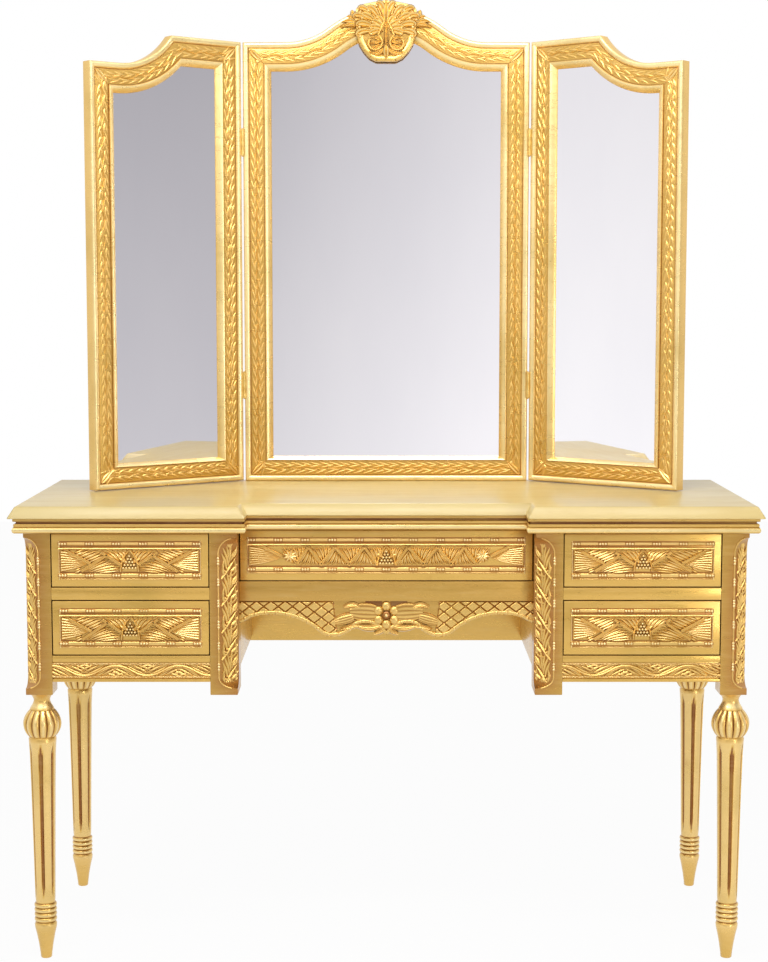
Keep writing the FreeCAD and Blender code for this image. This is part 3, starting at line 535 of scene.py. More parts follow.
runItems = {
    "leaf": (11 * mm, 5.6 * mm, 1.9 * mm),     # half length, width, height
    "stem": (12 * mm, 2.6 * mm, 2.6 * mm),
    "arch": 2 * mm,                            # how far leaf and stem bow aside
    "bed": (8 * mm, 5.4 * mm, 0.9 * mm),       # bed under three beads, dark with painted shade
    "bead": (2.5 * mm, 2.4 * mm),              # radius, height
    "beadStep": 4.6 * mm,
}


def makeItem(name, carving):
    item = newObject(name, toMesh(name, carving))
    item.hide_render = True
    return item


def makeSprig(name, kind, swell, steps):
    length, width, height = runItems[kind]
    carving = Carving()
    route = [(-length, 0), (0, runItems["arch"]), (length, 0)]
    stroke(carving, flatPlace, route, width, height, vineSection, swell, steps)
    return makeItem(name, carving)


def makeThreeBeads():
    length, width, height = runItems["bed"]
    carving = Carving()
    stroke(carving, flatPlace, [(-length, 0), (length, 0)], width, height, darkBed, evenSwell, 1)
    for step in (-1, 0, 1):
        bead(carving, flatPlace, step * runItems["beadStep"], 0, *runItems["bead"], sides=8)
    return makeItem("three_beads", carving)


bandLeaf = makeSprig("band_leaf", "leaf", leafSwell, 5)
bandStem = makeSprig("band_stem", "stem", roundSwell, 4)
threeBeads = makeThreeBeads()
print("carver's kit made")


# Stone top: stepped plan, edges leaning in, arrises rounded

stoneTop = {
    "lean": 12 * mm,
    "step": 233 * mm,      # half width of the recess
    "recess": 50 * mm,
    "arris": 2.6 * mm,
}


def makeStoneTop():
    low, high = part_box("stone_top")
    shape = bmesh.new()
    rings = []
    for z, lean in ((low.z, 0), (high.z, stoneTop["lean"])):
        side, step = high.x - lean, stoneTop["step"] + lean
        lip, recess = low.y + lean, low.y + stoneTop["recess"] + lean
        plan = [(-side, lip), (-step, lip), (-step, recess), (step, recess), (step, lip), (side, lip),
                (side, high.y), (-side, high.y)]
        rings.append([shape.verts.new((x, y, z)) for x, y in plan])
    count = len(rings[0])
    for index in range(count):
        after = (index + 1) % count
        shape.faces.new((rings[0][index], rings[0][after], rings[1][after], rings[1][index]))
    shape.faces.new(rings[0])
    shape.faces.new(rings[1])
    bmesh.ops.recalc_face_normals(shape, faces=shape.faces[:])
    bmesh.ops.bevel(shape, geom=shape.edges[:], offset=stoneTop["arris"], segments=3, profile=0.5,
                    affect="EDGES")
    mesh = bpy.data.meshes.new("stone_slab")
    shape.to_mesh(mesh)
    shape.free()
    smooth(mesh)
    finishPiece("stone_slab", mesh, stone, "table", "stone_top")


makeStoneTop()
print("stone top made")


# Cornice: one moulding swept round the stepped plan with mitred corners

cornice = {
    "profile": [  # reach in front of the case, height above its lower edge, depth
        (0, 0, 0.3), (8, 0, 0.2), (12.6, 0.6, 0.4), (14.6, 2.2, 0.7), (15.7, 4.6, 0.95), (15.8, 6.4, 1.0),
        (15.1, 8.6, 0.85), (13.6, 10.6, 0.45), (12.8, 11.3, 0.15), (13.1, 12.2, 0.5), (13.5, 13.8, 0.6),
        (13.1, 15.6, 0.55), (12.4, 16.4, 0.25), (9.7, 16.8, 0.0), (9.4, 18.4, 0.0), (10.0, 20.0, 0.02),
        (13.6, 20.2, 0.4), (14.5, 21.0, 0.6), (14.5, 25.0, 0.55), (14.0, 26.0, 0.4), (0, 26.0, 0.3)],
}


def makeCornice():
    low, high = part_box("sub_top")
    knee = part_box("right_knee_post")[0].x
    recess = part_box("centre_rail")[0].y
    carving = Carving()
    plan = [(low.x, high.y), (low.x, low.y), (-knee, low.y), (-knee, recess), (knee, recess), (knee, low.y),
            (high.x, low.y), (high.x, high.y)]
    mitres = [(-1, 0), (-1, -1), (1, -1), (1, -1), (-1, -1), (-1, -1), (1, -1), (1, 0)]
    rings = [[Vector((x + reach * mm * outX, y + reach * mm * outY, low.z + rise * mm))
              for reach, rise, depth in cornice["profile"]] for (x, y), (outX, outY) in zip(plan, mitres)]
    carving.loft(rings, [depth for reach, rise, depth in cornice["profile"]])
    finishCarving("cornice", carving, "table", "cornice_moulding")


makeCornice()
print("cornice made")


# Legs: a carved square post above a turned, fluted shaft with a gadrooned bulb

leg = {
    "foot": [  # radius and height of the turning, depth
        (8.6, 0, 0.4), (9.5, 1.2, 0.5), (10.0, 8, 0.5), (12.2, 24, 0.55), (15.6, 42, 0.6), (18.4, 54, 0.75),
        (18.8, 59, 0.8), (17.6, 62.5, 0.45), (16.4, 64, 0.05)],
    "collars": 4,
    "collarLow": 64,
    "collarHigh": 97,
    "collarCore": 16.4,
    "collarReach": 2.6,
    "shaft": [(16.4, 99), (16.9, 106), (18.6, 200), (20.4, 300), (21.8, 356), (23.0, 376), (23.4, 382)],
    "shoulder": [(23.4, 382, 0.6), (22.0, 385, 0.4)],
    "bulbLow": 388,
    "bulbHigh": 431,
    "bulbNeck": 19,
    "bulbReach": 32.4,
    "bulbRows": 14,
    "neck": [
        (20.4, 432, 0.3), (19.8, 434.5, 0.75), (17.6, 438, 0.9), (15.2, 442, 0.85), (13.8, 446, 0.65),
        (13.6, 449, 0.5), (15.0, 452.6, 0.55), (18.0, 457, 0.65), (20.6, 460, 0.6)],
    "flutes": 6,
    "fluteLow": 115,
    "fluteHigh": 367,
    "fluteWidth": 9.8,     # degrees, half width
    "fluteDepth": 3.2,
    "fluteEnd": 9,         # length over which a flute runs out
    "fluteRows": 22,
    "gadroons": 14,
    "gadroonDepth": 3.8,
    "sides": 112,
}


def legRows():
    rows = [(*row, "plain") for row in leg["foot"]]
    pitch = (leg["collarHigh"] - leg["collarLow"]) / leg["collars"]
    for collar in range(leg["collars"]):
        base = leg["collarLow"] + pitch * collar
        for share in (0.12, 0.3, 0.5, 0.7, 0.88, 1.0):
            swell = math.sin(math.pi * share)
            radius = leg["collarCore"] + leg["collarReach"] * swell ** 0.6
            # painted shade between the collars, painted highlight on their crowns
            rows.append((radius, base + pitch * share, 0.05 + 0.9 * swell, "plain"))
    length, count = leg["fluteHigh"] - leg["fluteLow"], leg["fluteRows"]
    heights = [leg["fluteLow"] + length * step / count for step in range(count + 1)]
    for (lowR, lowZ), (highR, highZ) in zip(leg["shaft"], leg["shaft"][1:]):
        between = [lowZ] + [height for height in heights if lowZ < height < highZ]
        for height in between:
            rows.append((lowR + (highR - lowR) * (height - lowZ) / (highZ - lowZ), height, 0.8, "flute"))
    rows += [(*row, "plain") for row in leg["shoulder"]]
    for step in range(leg["bulbRows"] + 1):
        share = step / leg["bulbRows"]
        swell = math.sin(math.pi * (0.12 + 0.85 * share)) ** 0.8
        radius = leg["bulbNeck"] + (leg["bulbReach"] - leg["bulbNeck"]) * swell
        rows.append((radius, leg["bulbLow"] + (leg["bulbHigh"] - leg["bulbLow"]) * share, 0.8, "gadroon"))
    rows += [(*row, "plain") for row in leg["neck"]]
    return rows


def legPoint(radius, height, depth, kind, angle):
    if kind == "flute":
        spread = 360 / leg["flutes"]
        away = abs((math.degrees(angle) + 90 + spread / 2) % spread - spread / 2)
        inside = min(height - leg["fluteLow"], leg["fluteHigh"] - height)
        ends = min(1, max(0, inside / leg["fluteEnd"] + 0.15))
        taper = 0.55 + 0.45 * (height - leg["fluteLow"]) / (leg["fluteHigh"] - leg["fluteLow"])
        width = leg["fluteWidth"] * math.sqrt(ends) * (0.75 + 0.25 * taper)
        if leg["fluteLow"] <= height <= leg["fluteHigh"] and away < width:
            hollow = math.sqrt(1 - (away / width) ** 2)
            radius -= leg["fluteDepth"] * hollow * math.sqrt(ends)
            # painted shade, darker towards the bottom of the flute
            depth = 0.26 - 0.2 * hollow
    if kind == "gadroon":
        wave = abs(math.cos(angle * leg["gadroons"] / 2))
        share = (height - leg["bulbLow"]) / (leg["bulbHigh"] - leg["bulbLow"])
        strength = math.sin(math.pi * (0.1 + 0.8 * share)) ** 0.5
        radius -= leg["gadroonDepth"] * strength * (1 - wave ** 0.55)
        # painted shade in the furrows between the gadroons, painted highlight on their ridges
        depth = 0.88 * wave ** 0.8
    return radius, depth


def turnLeg(carving, x, y):
    rings, depths = [], []
    for row in legRows():
        ring = []
        for side in range(leg["sides"]):
            angle = 2 * math.pi * side / leg["sides"]
            radius, depth = legPoint(*row, angle)
            reach = radius * mm
            ring.append(Vector((x + reach * math.cos(angle), y + reach * math.sin(angle), row[1] * mm)))
            depths.append(depth)
        rings.append(ring)
    carving.loft(rings, depths)


# Posts: square, with one corner cut off between curved stops and carved with a garland

post = {
    "half": 22.5 * mm,      # half width of the legs' posts
    "base": 460 * mm,       # where the turning ends
    "cant": 22 * mm,        # cut of the front legs' posts
    "kneeCant": 29 * mm,    # cut of the knee-hole posts
    "plain": 8 * mm,        # square part above the cut
    "foot": 11 * mm,        # square part below it
    "stopHigh": 27 * mm,    # length of the upper curved stop
    "stopLow": 19 * mm,
    "trim": 0.8 * mm,       # softened lower edge
    "tones": [0.33, 0.23, 0.23, 0.33, 0.33],  # painted shade at the inner edge, both sides of the cut, rear corners; darkest at the cut
    "pitch": 40 * mm,       # garland groups of the front legs
    "kneePitch": 44 * mm,
    "beadPitch": 35 * mm,
    "line": 2.6 * mm,       # raised line beside the cut
    "lineRise": 1.6 * mm,
    "leafRise": 3.6 * mm,
    "berries": [(-0.5, 0.06), (-0.36, 0.16)],
    "berry": (2.4 * mm, 4.4 * mm),  # radius, height
    "leaves": [  # root, bend, tip and width of a group's leaves, as shares of the half width and the pitch
        ((-0.3, 0.12), (-0.45, 0.5), (-0.84, 0.72), 0.28), ((-0.1, 0.22), (-0.3, 0.66), (-0.72, 0.95), 0.28),
        ((0.1, 0.02), (0.5, 0.08), (0.86, 0.3), 0.28), ((-0.3, -0.12), (0.3, -0.2), (0.8, 0.04), 0.24),
        ((0.15, 0.42), (0.35, 0.68), (0.76, 0.86), 0.28), ((0.0, 0.36), (0.0, 0.8), (0.26, 1.1), 0.28),
        ((0.5, -0.1), (0.74, 0.2), (0.5, 0.5), 0.24), ((-0.56, -0.12), (-0.8, 0.15), (-0.6, 0.45), 0.24),
        ((0.34, 0.52), (0.74, 0.62), (0.8, 0.98), 0.24), ((-0.2, 0.46), (-0.06, 0.75), (-0.36, 1.02), 0.24),
        ((-0.86, -0.22), (0.0, 0.16), (0.86, 0.62), 0.22)],
}


def cantAt(height, low, high, cut):
    start, end = low + post["foot"], high - post["plain"]
    near = max(0, min(1, (height - start) / post["stopLow"], (end - height) / post["stopHigh"]))
    return cut * max(0.02, math.sqrt(1 - (1 - near) ** 2))


def stopHeights(start, end, lowSteps, highSteps):
    heights = [start + post["stopLow"] * (step / lowSteps) ** 1.6 for step in range(1, lowSteps + 1)]
    return heights + [end - post["stopHigh"] * (step / highSteps) ** 1.6 for step in range(highSteps, 0, -1)]


def carvePost(carving, low, high, outX, cut, pitch, leafy):
    inX, edge = (low.x, high.x) if outX > 0 else (high.x, low.x)
    start, end = low.z + post["foot"], high.z - post["plain"]
    rings = []
    for z in [low.z, low.z + 1 * mm, start] + stopHeights(start, end, 10, 12) + [end, high.z]:
        size = cantAt(z, low.z, high.z, cut)
        trim = post["trim"] if z == low.z else 0
        inner, outer = inX + outX * trim, edge - outX * trim
        plan = [(inner, low.y + trim), (edge - outX * size, low.y + trim), (outer, low.y + size),
                (outer, high.y - trim), (inner, high.y - trim)]
        rings.append([Vector((x, y, z)) for x, y in plan])
    carving.loft(rings, post["tones"])
    slant = math.sqrt(0.5)
    middleX, middleY = edge - outX * cut / 2, low.y + cut / 2

    def place(u, v, h):  # u runs across the cut corner, away from the front face
        return Vector((middleX + outX * slant * (u + h), middleY + slant * (u - h), v))
    carveGarland(carving, place, start + 12 * mm, end - 14 * mm, cut * slant, pitch, leafy)
    face = frontPanel(0, low.y, 0)
    line = post["line"]
    spots = [(edge - outX * (cantAt(z, low.z, high.z, cut) + line * 0.9), z)
             for z in stopHeights(start, end, 8, 9)]
    for first, second in zip(spots, spots[1:]):
        stroke(carving, face, [first, second], line, post["lineRise"], softReed, evenSwell, 2)
    beadX = edge - outX * (cut + line * 0.9)
    bottom, top = start + post["stopLow"] + 18 * mm, end - post["stopHigh"] - 12 * mm
    path = [face(beadX, z, 0.4 * mm) for z in (bottom, top)]
    addRun(carving, path, threeBeads, post["beadPitch"])


def carveGarland(carving, place, low, high, half, pitch, leafy):
    rise = post["leafRise"]
    count = round((high - low) / pitch)
    for group in range(count):
        def at(u, share):
            return (u * half, low + (high - low) * (group + share) / count)
        for root, bend, tip, width in post["leaves"]:
            stroke(carving, place, [at(*root), at(*bend), at(*tip)], width * half, rise, leafy)
        for spot in post["berries"]:
            bead(carving, place, *at(*spot), *post["berry"], sides=8, tone=0.7)
    for v, turn in ((high, 1), (low, -1)):  # three leaves at each end
        for u in (-0.5, 0, 0.5):
            tip = (u * half * 0.8, v + turn * (13 - 6 * abs(u)) * mm)
            route = [(0, v - turn * 4 * mm), (u * half * 0.7, v + turn * 4 * mm), tip]
            stroke(carving, place, route, 6.5 * mm, rise, leafy)


def makeLegs():
    half = post["half"]
    for name in ("front_left_leg", "front_right_leg", "rear_left_leg", "rear_right_leg"):
        low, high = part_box(name)
        x, y = (low.x + high.x) / 2, (low.y + high.y) / 2
        carving = Carving()
        turnLeg(carving, x, y)
        corner, top = Vector((x - half, y - half, post["base"])), Vector((x + half, y + half, high.z))
        if name.startswith("front"):
            carvePost(carving, corner, top, 1 if x > 0 else -1, post["cant"], post["pitch"], softBlade)
        else:
            carving.board(corner, top)
        finishCarving(name.replace("_leg", "_turned_leg"), carving, "table", name)
    for name, outX in (("left_knee_post", 1), ("right_knee_post", -1)):
        carving = Carving()
        carvePost(carving, *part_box(name), outX, post["kneeCant"], post["kneePitch"], vineSection)
        finishCarving(name.replace("_post", "_carved_post"), carving, "table", name)


makeLegs()
print("legs and posts made")


# Plain boards of the case, with softened edges

plainBoards = {  # board and the tone of its gilding
    "left_side_panel": 0.45,
    "right_side_panel": 0.45,
    "left_knee_panel": 0.45,
    "right_knee_panel": 0.45,
    # the centre rail lies back in the recess: its lower tone is painted shade
    "centre_rail": 0.35,
    "back_panel": 0.45,
}
drawerGap = 1.5 * mm


def pedestalSpans(node):
    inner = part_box("right_upper_drawer_front")[0].x - drawerGap
    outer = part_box(node)[1].x
    return [sorted((side * inner, side * outer)) for side in (-1, 1)]


def makePlainBoards():
    pieces = {}
    for name, tone in plainBoards.items():
        carving = Carving()
        carving.board(*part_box(name), edge=1.0 * mm, depth=tone)
        pieces[name] = finishCarving(name + "_gilt", carving, "table", name)
    back = pieces["back_panel"].data
    back.materials.append(backWood)
    for face in back.polygons:
        face.material_index = 1 if face.normal.y > 0.9 else 0
    low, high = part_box("drawer_dividers")
    carving = Carving()
    for left, right in pedestalSpans("drawer_dividers"):
        carving.board((left, low.y, low.z), (right, high.y, high.z), edge=1.4 * mm)
    finishCarving("drawer_rails_gilt", carving, "table", "drawer_dividers")


makePlainBoards()
print("plain boards made")


# Base rails: a strip of waving ribbon and leaves between two fillets

baseRail = {
    "stripLow": 7.5 * mm,
    "stripHigh": 32 * mm,
    "sunk": 3.4 * mm,               # the strip's ground lies this far behind the fillets
    "tone": 0.58,
    "line": (2.6 * mm, 3.2 * mm),   # width and height of the lines beside the strip
    "wave": 56 * mm,                # half a wave of the ribbon
    "ribbon": (5 * mm, 4.2 * mm),
    "leaf": (5.2 * mm, 3.4 * mm),
    "leaves": [  # routes above one half wave, as shares of its length and the strip's half height
        ((0.08, -0.6), (0.36, -0.2), (0.68, 0.9)), ((0.0, -0.3), (0.24, 0.3), (0.52, 0.95)),
        ((-0.1, 0.05), (0.08, 0.5), (0.34, 0.97)), ((-0.24, 0.45), (-0.1, 0.75), (0.1, 0.97))],
}


def makeBaseRails():
    low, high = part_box("base_rails")
    stripLow, stripHigh = baseRail["stripLow"], baseRail["stripHigh"]
    half = (stripHigh - stripLow) / 2 - 1.6 * mm
    ground = low.y + baseRail["sunk"]
    fillets = ((stripHigh + 1.8 * mm, high.z - low.z), (0, stripLow - 1.8 * mm))
    carving = Carving()
    for left, right in pedestalSpans("base_rails"):
        length = right - left
        carving.board((left, ground, low.z), (right, high.y, high.z), edge=0.6 * mm, depth=baseRail["tone"])
        for bottom, top in fillets:
            carving.board((left, low.y, low.z + bottom), (right, ground + 1 * mm, low.z + top), edge=1.4 * mm)
        place = frontPanel((left + right) / 2, ground, low.z + (stripLow + stripHigh) / 2)
        for v in (half + 0.4 * mm, -half - 0.4 * mm):
            route = [(-length / 2, v), (length / 2, v)]
            stroke(carving, place, route, *baseRail["line"], reedSection, evenSwell, 2)
        count = round(length / baseRail["wave"])
        for wave in range(count):
            start = (wave / count - 0.5) * length
            carveWave(carving, place, start, length / count, half * (1 if wave % 2 else -1))
    finishCarving("carved_base_rails", carving, "table", "base_rails")


def carveWave(carving, place, start, step, half):
    def at(share, rise):
        return (start + step * share, half * rise)
    ribbon = [at(0, -0.75), at(0.4, -0.9), at(0.6, 0.9), at(1, 0.75)]
    stroke(carving, place, ribbon, *baseRail["ribbon"], softBlade, evenSwell, 10)
    for turn in (1, -1):  # leaves above the ribbon, then the same turned half round below it
        for leaf in baseRail["leaves"]:
            route = [at(0.5 + turn * (share - 0.5), turn * rise) for share, rise in leaf]
            stroke(carving, place, route, *baseRail["leaf"], softBlade, leafSwell, 7)


makeBaseRails()
print("base rails made")


# Drawer fronts: a plate, bars with beads, and a carved field with a bunch of berries to pull by

drawerFront = {
    "plate": 20 * mm,
    "margin": 12 * mm,
    "groundTone": 0.14,      # between the bars, dark with painted shade
    "bars": [  # down from the top or, below zero, up from the bottom; width, height, beads or none
        (4.4, 6.4, 2.6, True), (12.6, 4.4, 3.6, False), (-1.3, 2.2, 1.8, False), (-7.6, 8.4, 3.8, True)],
    "endBar": 2.6 * mm,
    "fieldTop": 15.2 * mm,
    "fieldBottom": 13.6 * mm,
    "fieldSide": 3.4 * mm,
    "fieldRise": 1.6 * mm,
    "fieldTone": 0.42,
    "beads": 45 * mm,        # from one group of beads to the next
    "beadInset": 7 * mm,
    "leaf": (4.8 * mm, 4.2 * mm),    # width, height
    "part": 1.8 * mm,        # each leaf is two strokes, this far off its middle
    "strap": (5.4 * mm, 5.8 * mm),
    "petals": 9,
    "petal": (7 * mm, 5.6 * mm),
    "petalReach": (12 * mm, 10.5 * mm),
    "eye": (3.2 * mm, 7 * mm),
}
bunch = {  # across in mm, up as a share of the field's half height
    "strap": [(2, 0.95), (14, 0.2), (15, -0.98)],
    "root": (6, -0.2),
    "tips": [(16, 0.9), (21, 0.4)],
    "rows": 5,
    "berry": (2.9 * mm, 7.6 * mm),
    "step": (5.2 * mm, 5 * mm),
}
# one half of the field: straps, fan of reeds and leaves as shares of its half length and half height
sideField = {
    "straps": [((0.90, 0.9), (0.57, -0.22)), ((0.70, -0.95), (0.32, 0.62)), ((0.41, 0.85), (0.13, -0.3))],
    "fan": ((0.585, -0.2), 0.995, [0.88, 0.63, 0.38, 0.13, -0.12, -0.37, -0.62, -0.87]),
    "leaves": [
        ((0.60, 0.0), (0.5, 0.25), (0.38, 0.66)), ((0.65, 0.1), (0.54, 0.45), (0.38, 0.9)),
        ((0.69, 0.26), (0.6, 0.62), (0.46, 0.95)), ((0.74, 0.44), (0.66, 0.74), (0.56, 0.97)),
        ((0.80, 0.66), (0.74, 0.84), (0.66, 0.98)),
        ((0.66, -0.84), (0.5, -0.3), (0.36, 0.3)), ((0.62, -0.9), (0.44, -0.2), (0.28, 0.05)),
        ((0.58, -0.93), (0.4, -0.45), (0.2, -0.22)), ((0.52, -0.95), (0.36, -0.68), (0.15, -0.5)),
        ((0.44, -0.97), (0.3, -0.9), (0.13, -0.78)),
        ((0.18, 0.0), (0.24, 0.5), (0.35, 0.95)), ((0.14, 0.05), (0.18, 0.55), (0.27, 0.95)),
        ((0.10, 0.2), (0.13, 0.6), (0.2, 0.96)), ((0.07, 0.4), (0.09, 0.7), (0.13, 0.96)),
        ((0.80, -0.98), (0.76, -0.9), (0.70, -0.7))],
}
bayLeaves = [  # one bay of the centre drawer's zigzag, as shares of its half width and half height
    ((0.05, -0.75), (0.5, 0.1), (0.86, 0.9)), ((-0.02, -0.6), (0.25, 0.2), (0.58, 0.95)),
    ((-0.1, -0.4), (0.02, 0.4), (0.28, 0.95)), ((-0.2, -0.15), (-0.22, 0.5), (-0.06, 0.95)),
    ((-0.34, 0.1), (-0.44, 0.6), (-0.38, 0.95)), ((-0.5, 0.4), (-0.64, 0.7), (-0.7, 0.95))]
bays = ((0.08, 1), (0.17, -1), (0.27, 1), (0.375, -1), (0.475, 1), (0.57, -1), (0.665, 1))  # middle, way up
centreField = {
    "straps": [((0.16, 0.95), (0.065, -0.9)), ((0.16, 0.95), (0.28, -0.95)), ((0.375, 0.95), (0.26, -0.95)),
               ((0.375, 0.95), (0.485, -0.95)), ((0.57, 0.95), (0.465, -0.95)), ((0.57, 0.95), (0.65, -0.7)),
               ((0.765, 0.0), (0.89, 0.92))],
    "fan": ((0.755, -0.1), 0.995, [0.87, 0.62, 0.37, 0.12, -0.13, -0.38, -0.63, -0.87]),
    "leaves": [[(middle + 0.11 * u, way * v) for u, v in leaf] for middle, way in bays for leaf in bayLeaves],
    "flower": 0.705,
}


def carveBunch(carving, place, tall):
    for side in (-1, 1):
        def at(u, share):
            return (side * u * mm, tall * share)
        strap = [at(*spot) for spot in bunch["strap"]]
        stroke(carving, place, strap, 4.4 * mm, 5 * mm, softBlade, evenSwell, 8, 0.6 * mm)
        root = at(*bunch["root"])
        for spot in bunch["tips"]:
            tip = at(*spot)
            middle = (Vector(root) + Vector(tip)) / 2 + Vector((0, 1.5 * mm))
            stroke(carving, place, [root, middle, tip], 6.4 * mm, 4.6 * mm, softBlade, leafSwell, 7)
    across, down = bunch["step"]
    for row in range(bunch["rows"]):
        for berry in range(row + 1):
            spot = ((berry - row / 2) * across, tall * 0.5 - row * down)
            bead(carving, place, *spot, *bunch["berry"], sides=8)


def carveFlowerHead(carving, place, middle):
    reachX, reachZ = drawerFront["petalReach"]
    for petal in range(drawerFront["petals"]):
        turn = 2 * math.pi * petal / drawerFront["petals"]
        tip = (middle[0] + reachX * math.cos(turn), reachZ * math.sin(turn))
        stroke(carving, place, [middle, tip], *drawerFront["petal"], bladeSection, roundSwell, 5)
    bead(carving, place, *middle, *drawerFront["eye"])


def carveField(carving, place, a, b, field):
    for side in (-1, 1):
        def at(spot):
            return (side * spot[0] * a, spot[1] * b)
        for leaf in field["leaves"]:
            route = [Vector(at(spot)) for spot in leaf]
            away = (route[-1] - route[0]).normalized() * drawerFront["part"]
            for way, section in ((-1, bladeSection), (1, softBlade)):
                shifted = [spot + Vector((-away.y, away.x)) * way for spot in route]
                stroke(carving, place, shifted, *drawerFront["leaf"], section, leafSwell, 7)
        root, end, tips = field["fan"]
        for tip in tips:
            route = [at(root), at((0.6 * root[0] + 0.4 * end, 0.75 * tip)), at((end, tip))]
            stroke(carving, place, route, 0.28 * b, 4.2 * mm, bladeSection, fanSwell, 7)
        for low, high in field["straps"]:
            stroke(carving, place, [at(low), at(high)], *drawerFront["strap"], ribbonSection, evenSwell, 4)
        if "flower" in field:
            carveFlowerHead(carving, place, at((field["flower"], 0)))
    carveBunch(carving, place, b)


def carveBars(carving, plane, left, right, bottom, top):
    inset = drawerFront["beadInset"]
    for offset, width, height, beaded in drawerFront["bars"]:
        z = top - offset * mm if offset > 0 else bottom - offset * mm
        stroke(carving, plane, [(left, z), (right, z)], width * mm, height * mm, barReed, evenSwell, 2)
        if beaded:
            count = round((right - left) / drawerFront["beads"])
            path = [plane(x, z, (height - 0.8) * mm) for x in (left + inset, right - inset)]
            addRun(carving, path, threeBeads, (right - left - 2 * inset) / count)
    width = drawerFront["endBar"]
    for x in (left + width / 2, right - width / 2):
        stroke(carving, plane, [(x, bottom), (x, top)], width, width, reedSection, evenSwell, 2)


def makeDrawerFront(body, node, field):
    low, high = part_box(node)
    face = high.y - drawerFront["plate"]
    margin = drawerFront["margin"]
    left, right = low.x + margin, high.x - margin
    bottom, top = low.z + margin, high.z - margin
    carving = Carving()
    carving.board((low.x, face, low.z), high, edge=1.6 * mm)
    carving.board((left, face - 0.5 * mm, bottom), (right, face + 2 * mm, top), 0.2 * mm,
                  drawerFront["groundTone"])
    carveBars(carving, frontPanel(0, face, 0), left, right, bottom, top)
    lowZ, highZ = bottom + drawerFront["fieldBottom"], top - drawerFront["fieldTop"]
    side, ground = drawerFront["fieldSide"], face - drawerFront["fieldRise"]
    carving.board((left + side, ground, lowZ), (right - side, face + 2 * mm, highZ), 0.8 * mm,
                  drawerFront["fieldTone"])
    place = frontPanel((left + right) / 2, ground, (lowZ + highZ) / 2)
    carveField(carving, place, (right - left) / 2 - side - 1.2 * mm, (highZ - lowZ) / 2 - 0.4 * mm, field)
    finishCarving(node.replace("_front", "_carved_front"), carving, body, node)


def makeDrawers():
    for name in ("left_upper", "left_lower", "right_upper", "right_lower", "centre"):
        drawer = f"{name}_drawer"
        makeDrawerFront(drawer, f"{drawer}_front", centreField if name == "centre" else sideField)
        setFinish(f"{drawer}_box", drawerWood["y"])
        setFinish(f"{drawer}_bottom", drawerWood["x"])


makeDrawers()
print("drawers made")


# Apron: a shaped board with cut lattice, leaves, a flower and a moulded lower edge

apron = {
    "relief": 4 * mm,       # the ground lies this far behind the face
    "tileWidth": 24.5 * mm,
    "tileHeight": 19 * mm,
    "tileRise": 2.8 * mm,
    "groove": 1.7 * mm,
    "latticeStart": 90 * mm,
    "hollow": (7 * mm, 36 * mm, -9 * mm),  # painted shade in the corners above the flower: across from and to, lower end
    "columns": 400,
    "rows": 40,
    "edge": (7.4 * mm, 4 * mm),            # width, height
    "edgeBead": (3.9 * mm, 5 * mm),        # radius, height
    "tie": 18 * mm,
    "flower": (0, -24.5 * mm),
    "petals": 6,
    "petal": (8.6 * mm, 6.4 * mm),
    "petalReach": 15.6,                    # mm from the middle
    "petalLine": (7, 20),                  # from and to
    "eye": (8 * mm, 4.8 * mm),
    "pip": (4 * mm, 8 * mm),
    "leafRise": 4.4 * mm,
    "leaves": [  # routes of one half's ribbed leaves, with their widths
        ([(56, -27), (88, -36)], 20), ([(46, -11), (58, -3), (72, -11)], 12),
        ([(46, -42), (62, -43), (78, -49)], 9), ([(10, -42), (28, -50), (48, -43)], 13),
        ([(3, -45), (8, -53), (20, -56)], 10), ([(16, -21), (38, -19), (62, -19)], 33)],
}
shellSection = [
    (-1.1, -0.3, 0), (-1, 0.1, 0.05), (-0.85, 0.6, 0.6), (-0.66, 0.62, 0.16), (-0.46, 0.95, 0.7),
    (-0.24, 0.8, 0.16), (-0.02, 1, 0.72), (0.2, 0.8, 0.16), (0.42, 0.95, 0.66), (0.64, 0.62, 0.16),
    (0.85, 0.6, 0.56), (1, 0.1, 0.05), (1.1, -0.3, 0)]


def apronEdge():
    low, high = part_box("apron")
    found = {}
    for vertex in nodes["apron"].data.vertices:
        if vertex.co.y < low.y + 0.1 * mm and vertex.co.z < high.z - 1 * mm:
            found[round(vertex.co.x, 5)] = vertex.co.z
    return sorted(found.items())


def edgeHeight(edge, x):
    for (leftX, leftZ), (rightX, rightZ) in zip(edge, edge[1:]):
        if leftX <= x <= rightX:
            share = (x - leftX) / max(1e-9, rightX - leftX)
            return leftZ + (rightZ - leftZ) * share
    return edge[0][1] if x < edge[0][0] else edge[-1][1]


def latticeAt(u, v):
    wide, tall = apron["tileWidth"], apron["tileHeight"]
    inside = min(1, max(0, (abs(u) - apron["latticeStart"] - 0.12 * v) / apron["groove"]))
    apart = wide * tall / math.hypot(wide, tall)
    lines = [abs(u) / wide + v / tall, abs(u) / wide - v / tall]
    off = min(abs(line - round(line)) * apart for line in lines) / apron["groove"]
    tile = min(1, off, inside, max(0, -v / apron["groove"] - 0.4))
    tile = tile * tile * (3 - 2 * tile)
    near, far, bottom = apron["hollow"]
    # painted shade in the lattice's grooves
    depth = 0.02 + 0.6 * tile
    if inside == 0:
        # flat middle: painted shade in the corners above the flower
        depth = 0.04 if near < abs(u) < far and v > bottom else 0.36
    return apron["tileRise"] * tile, depth


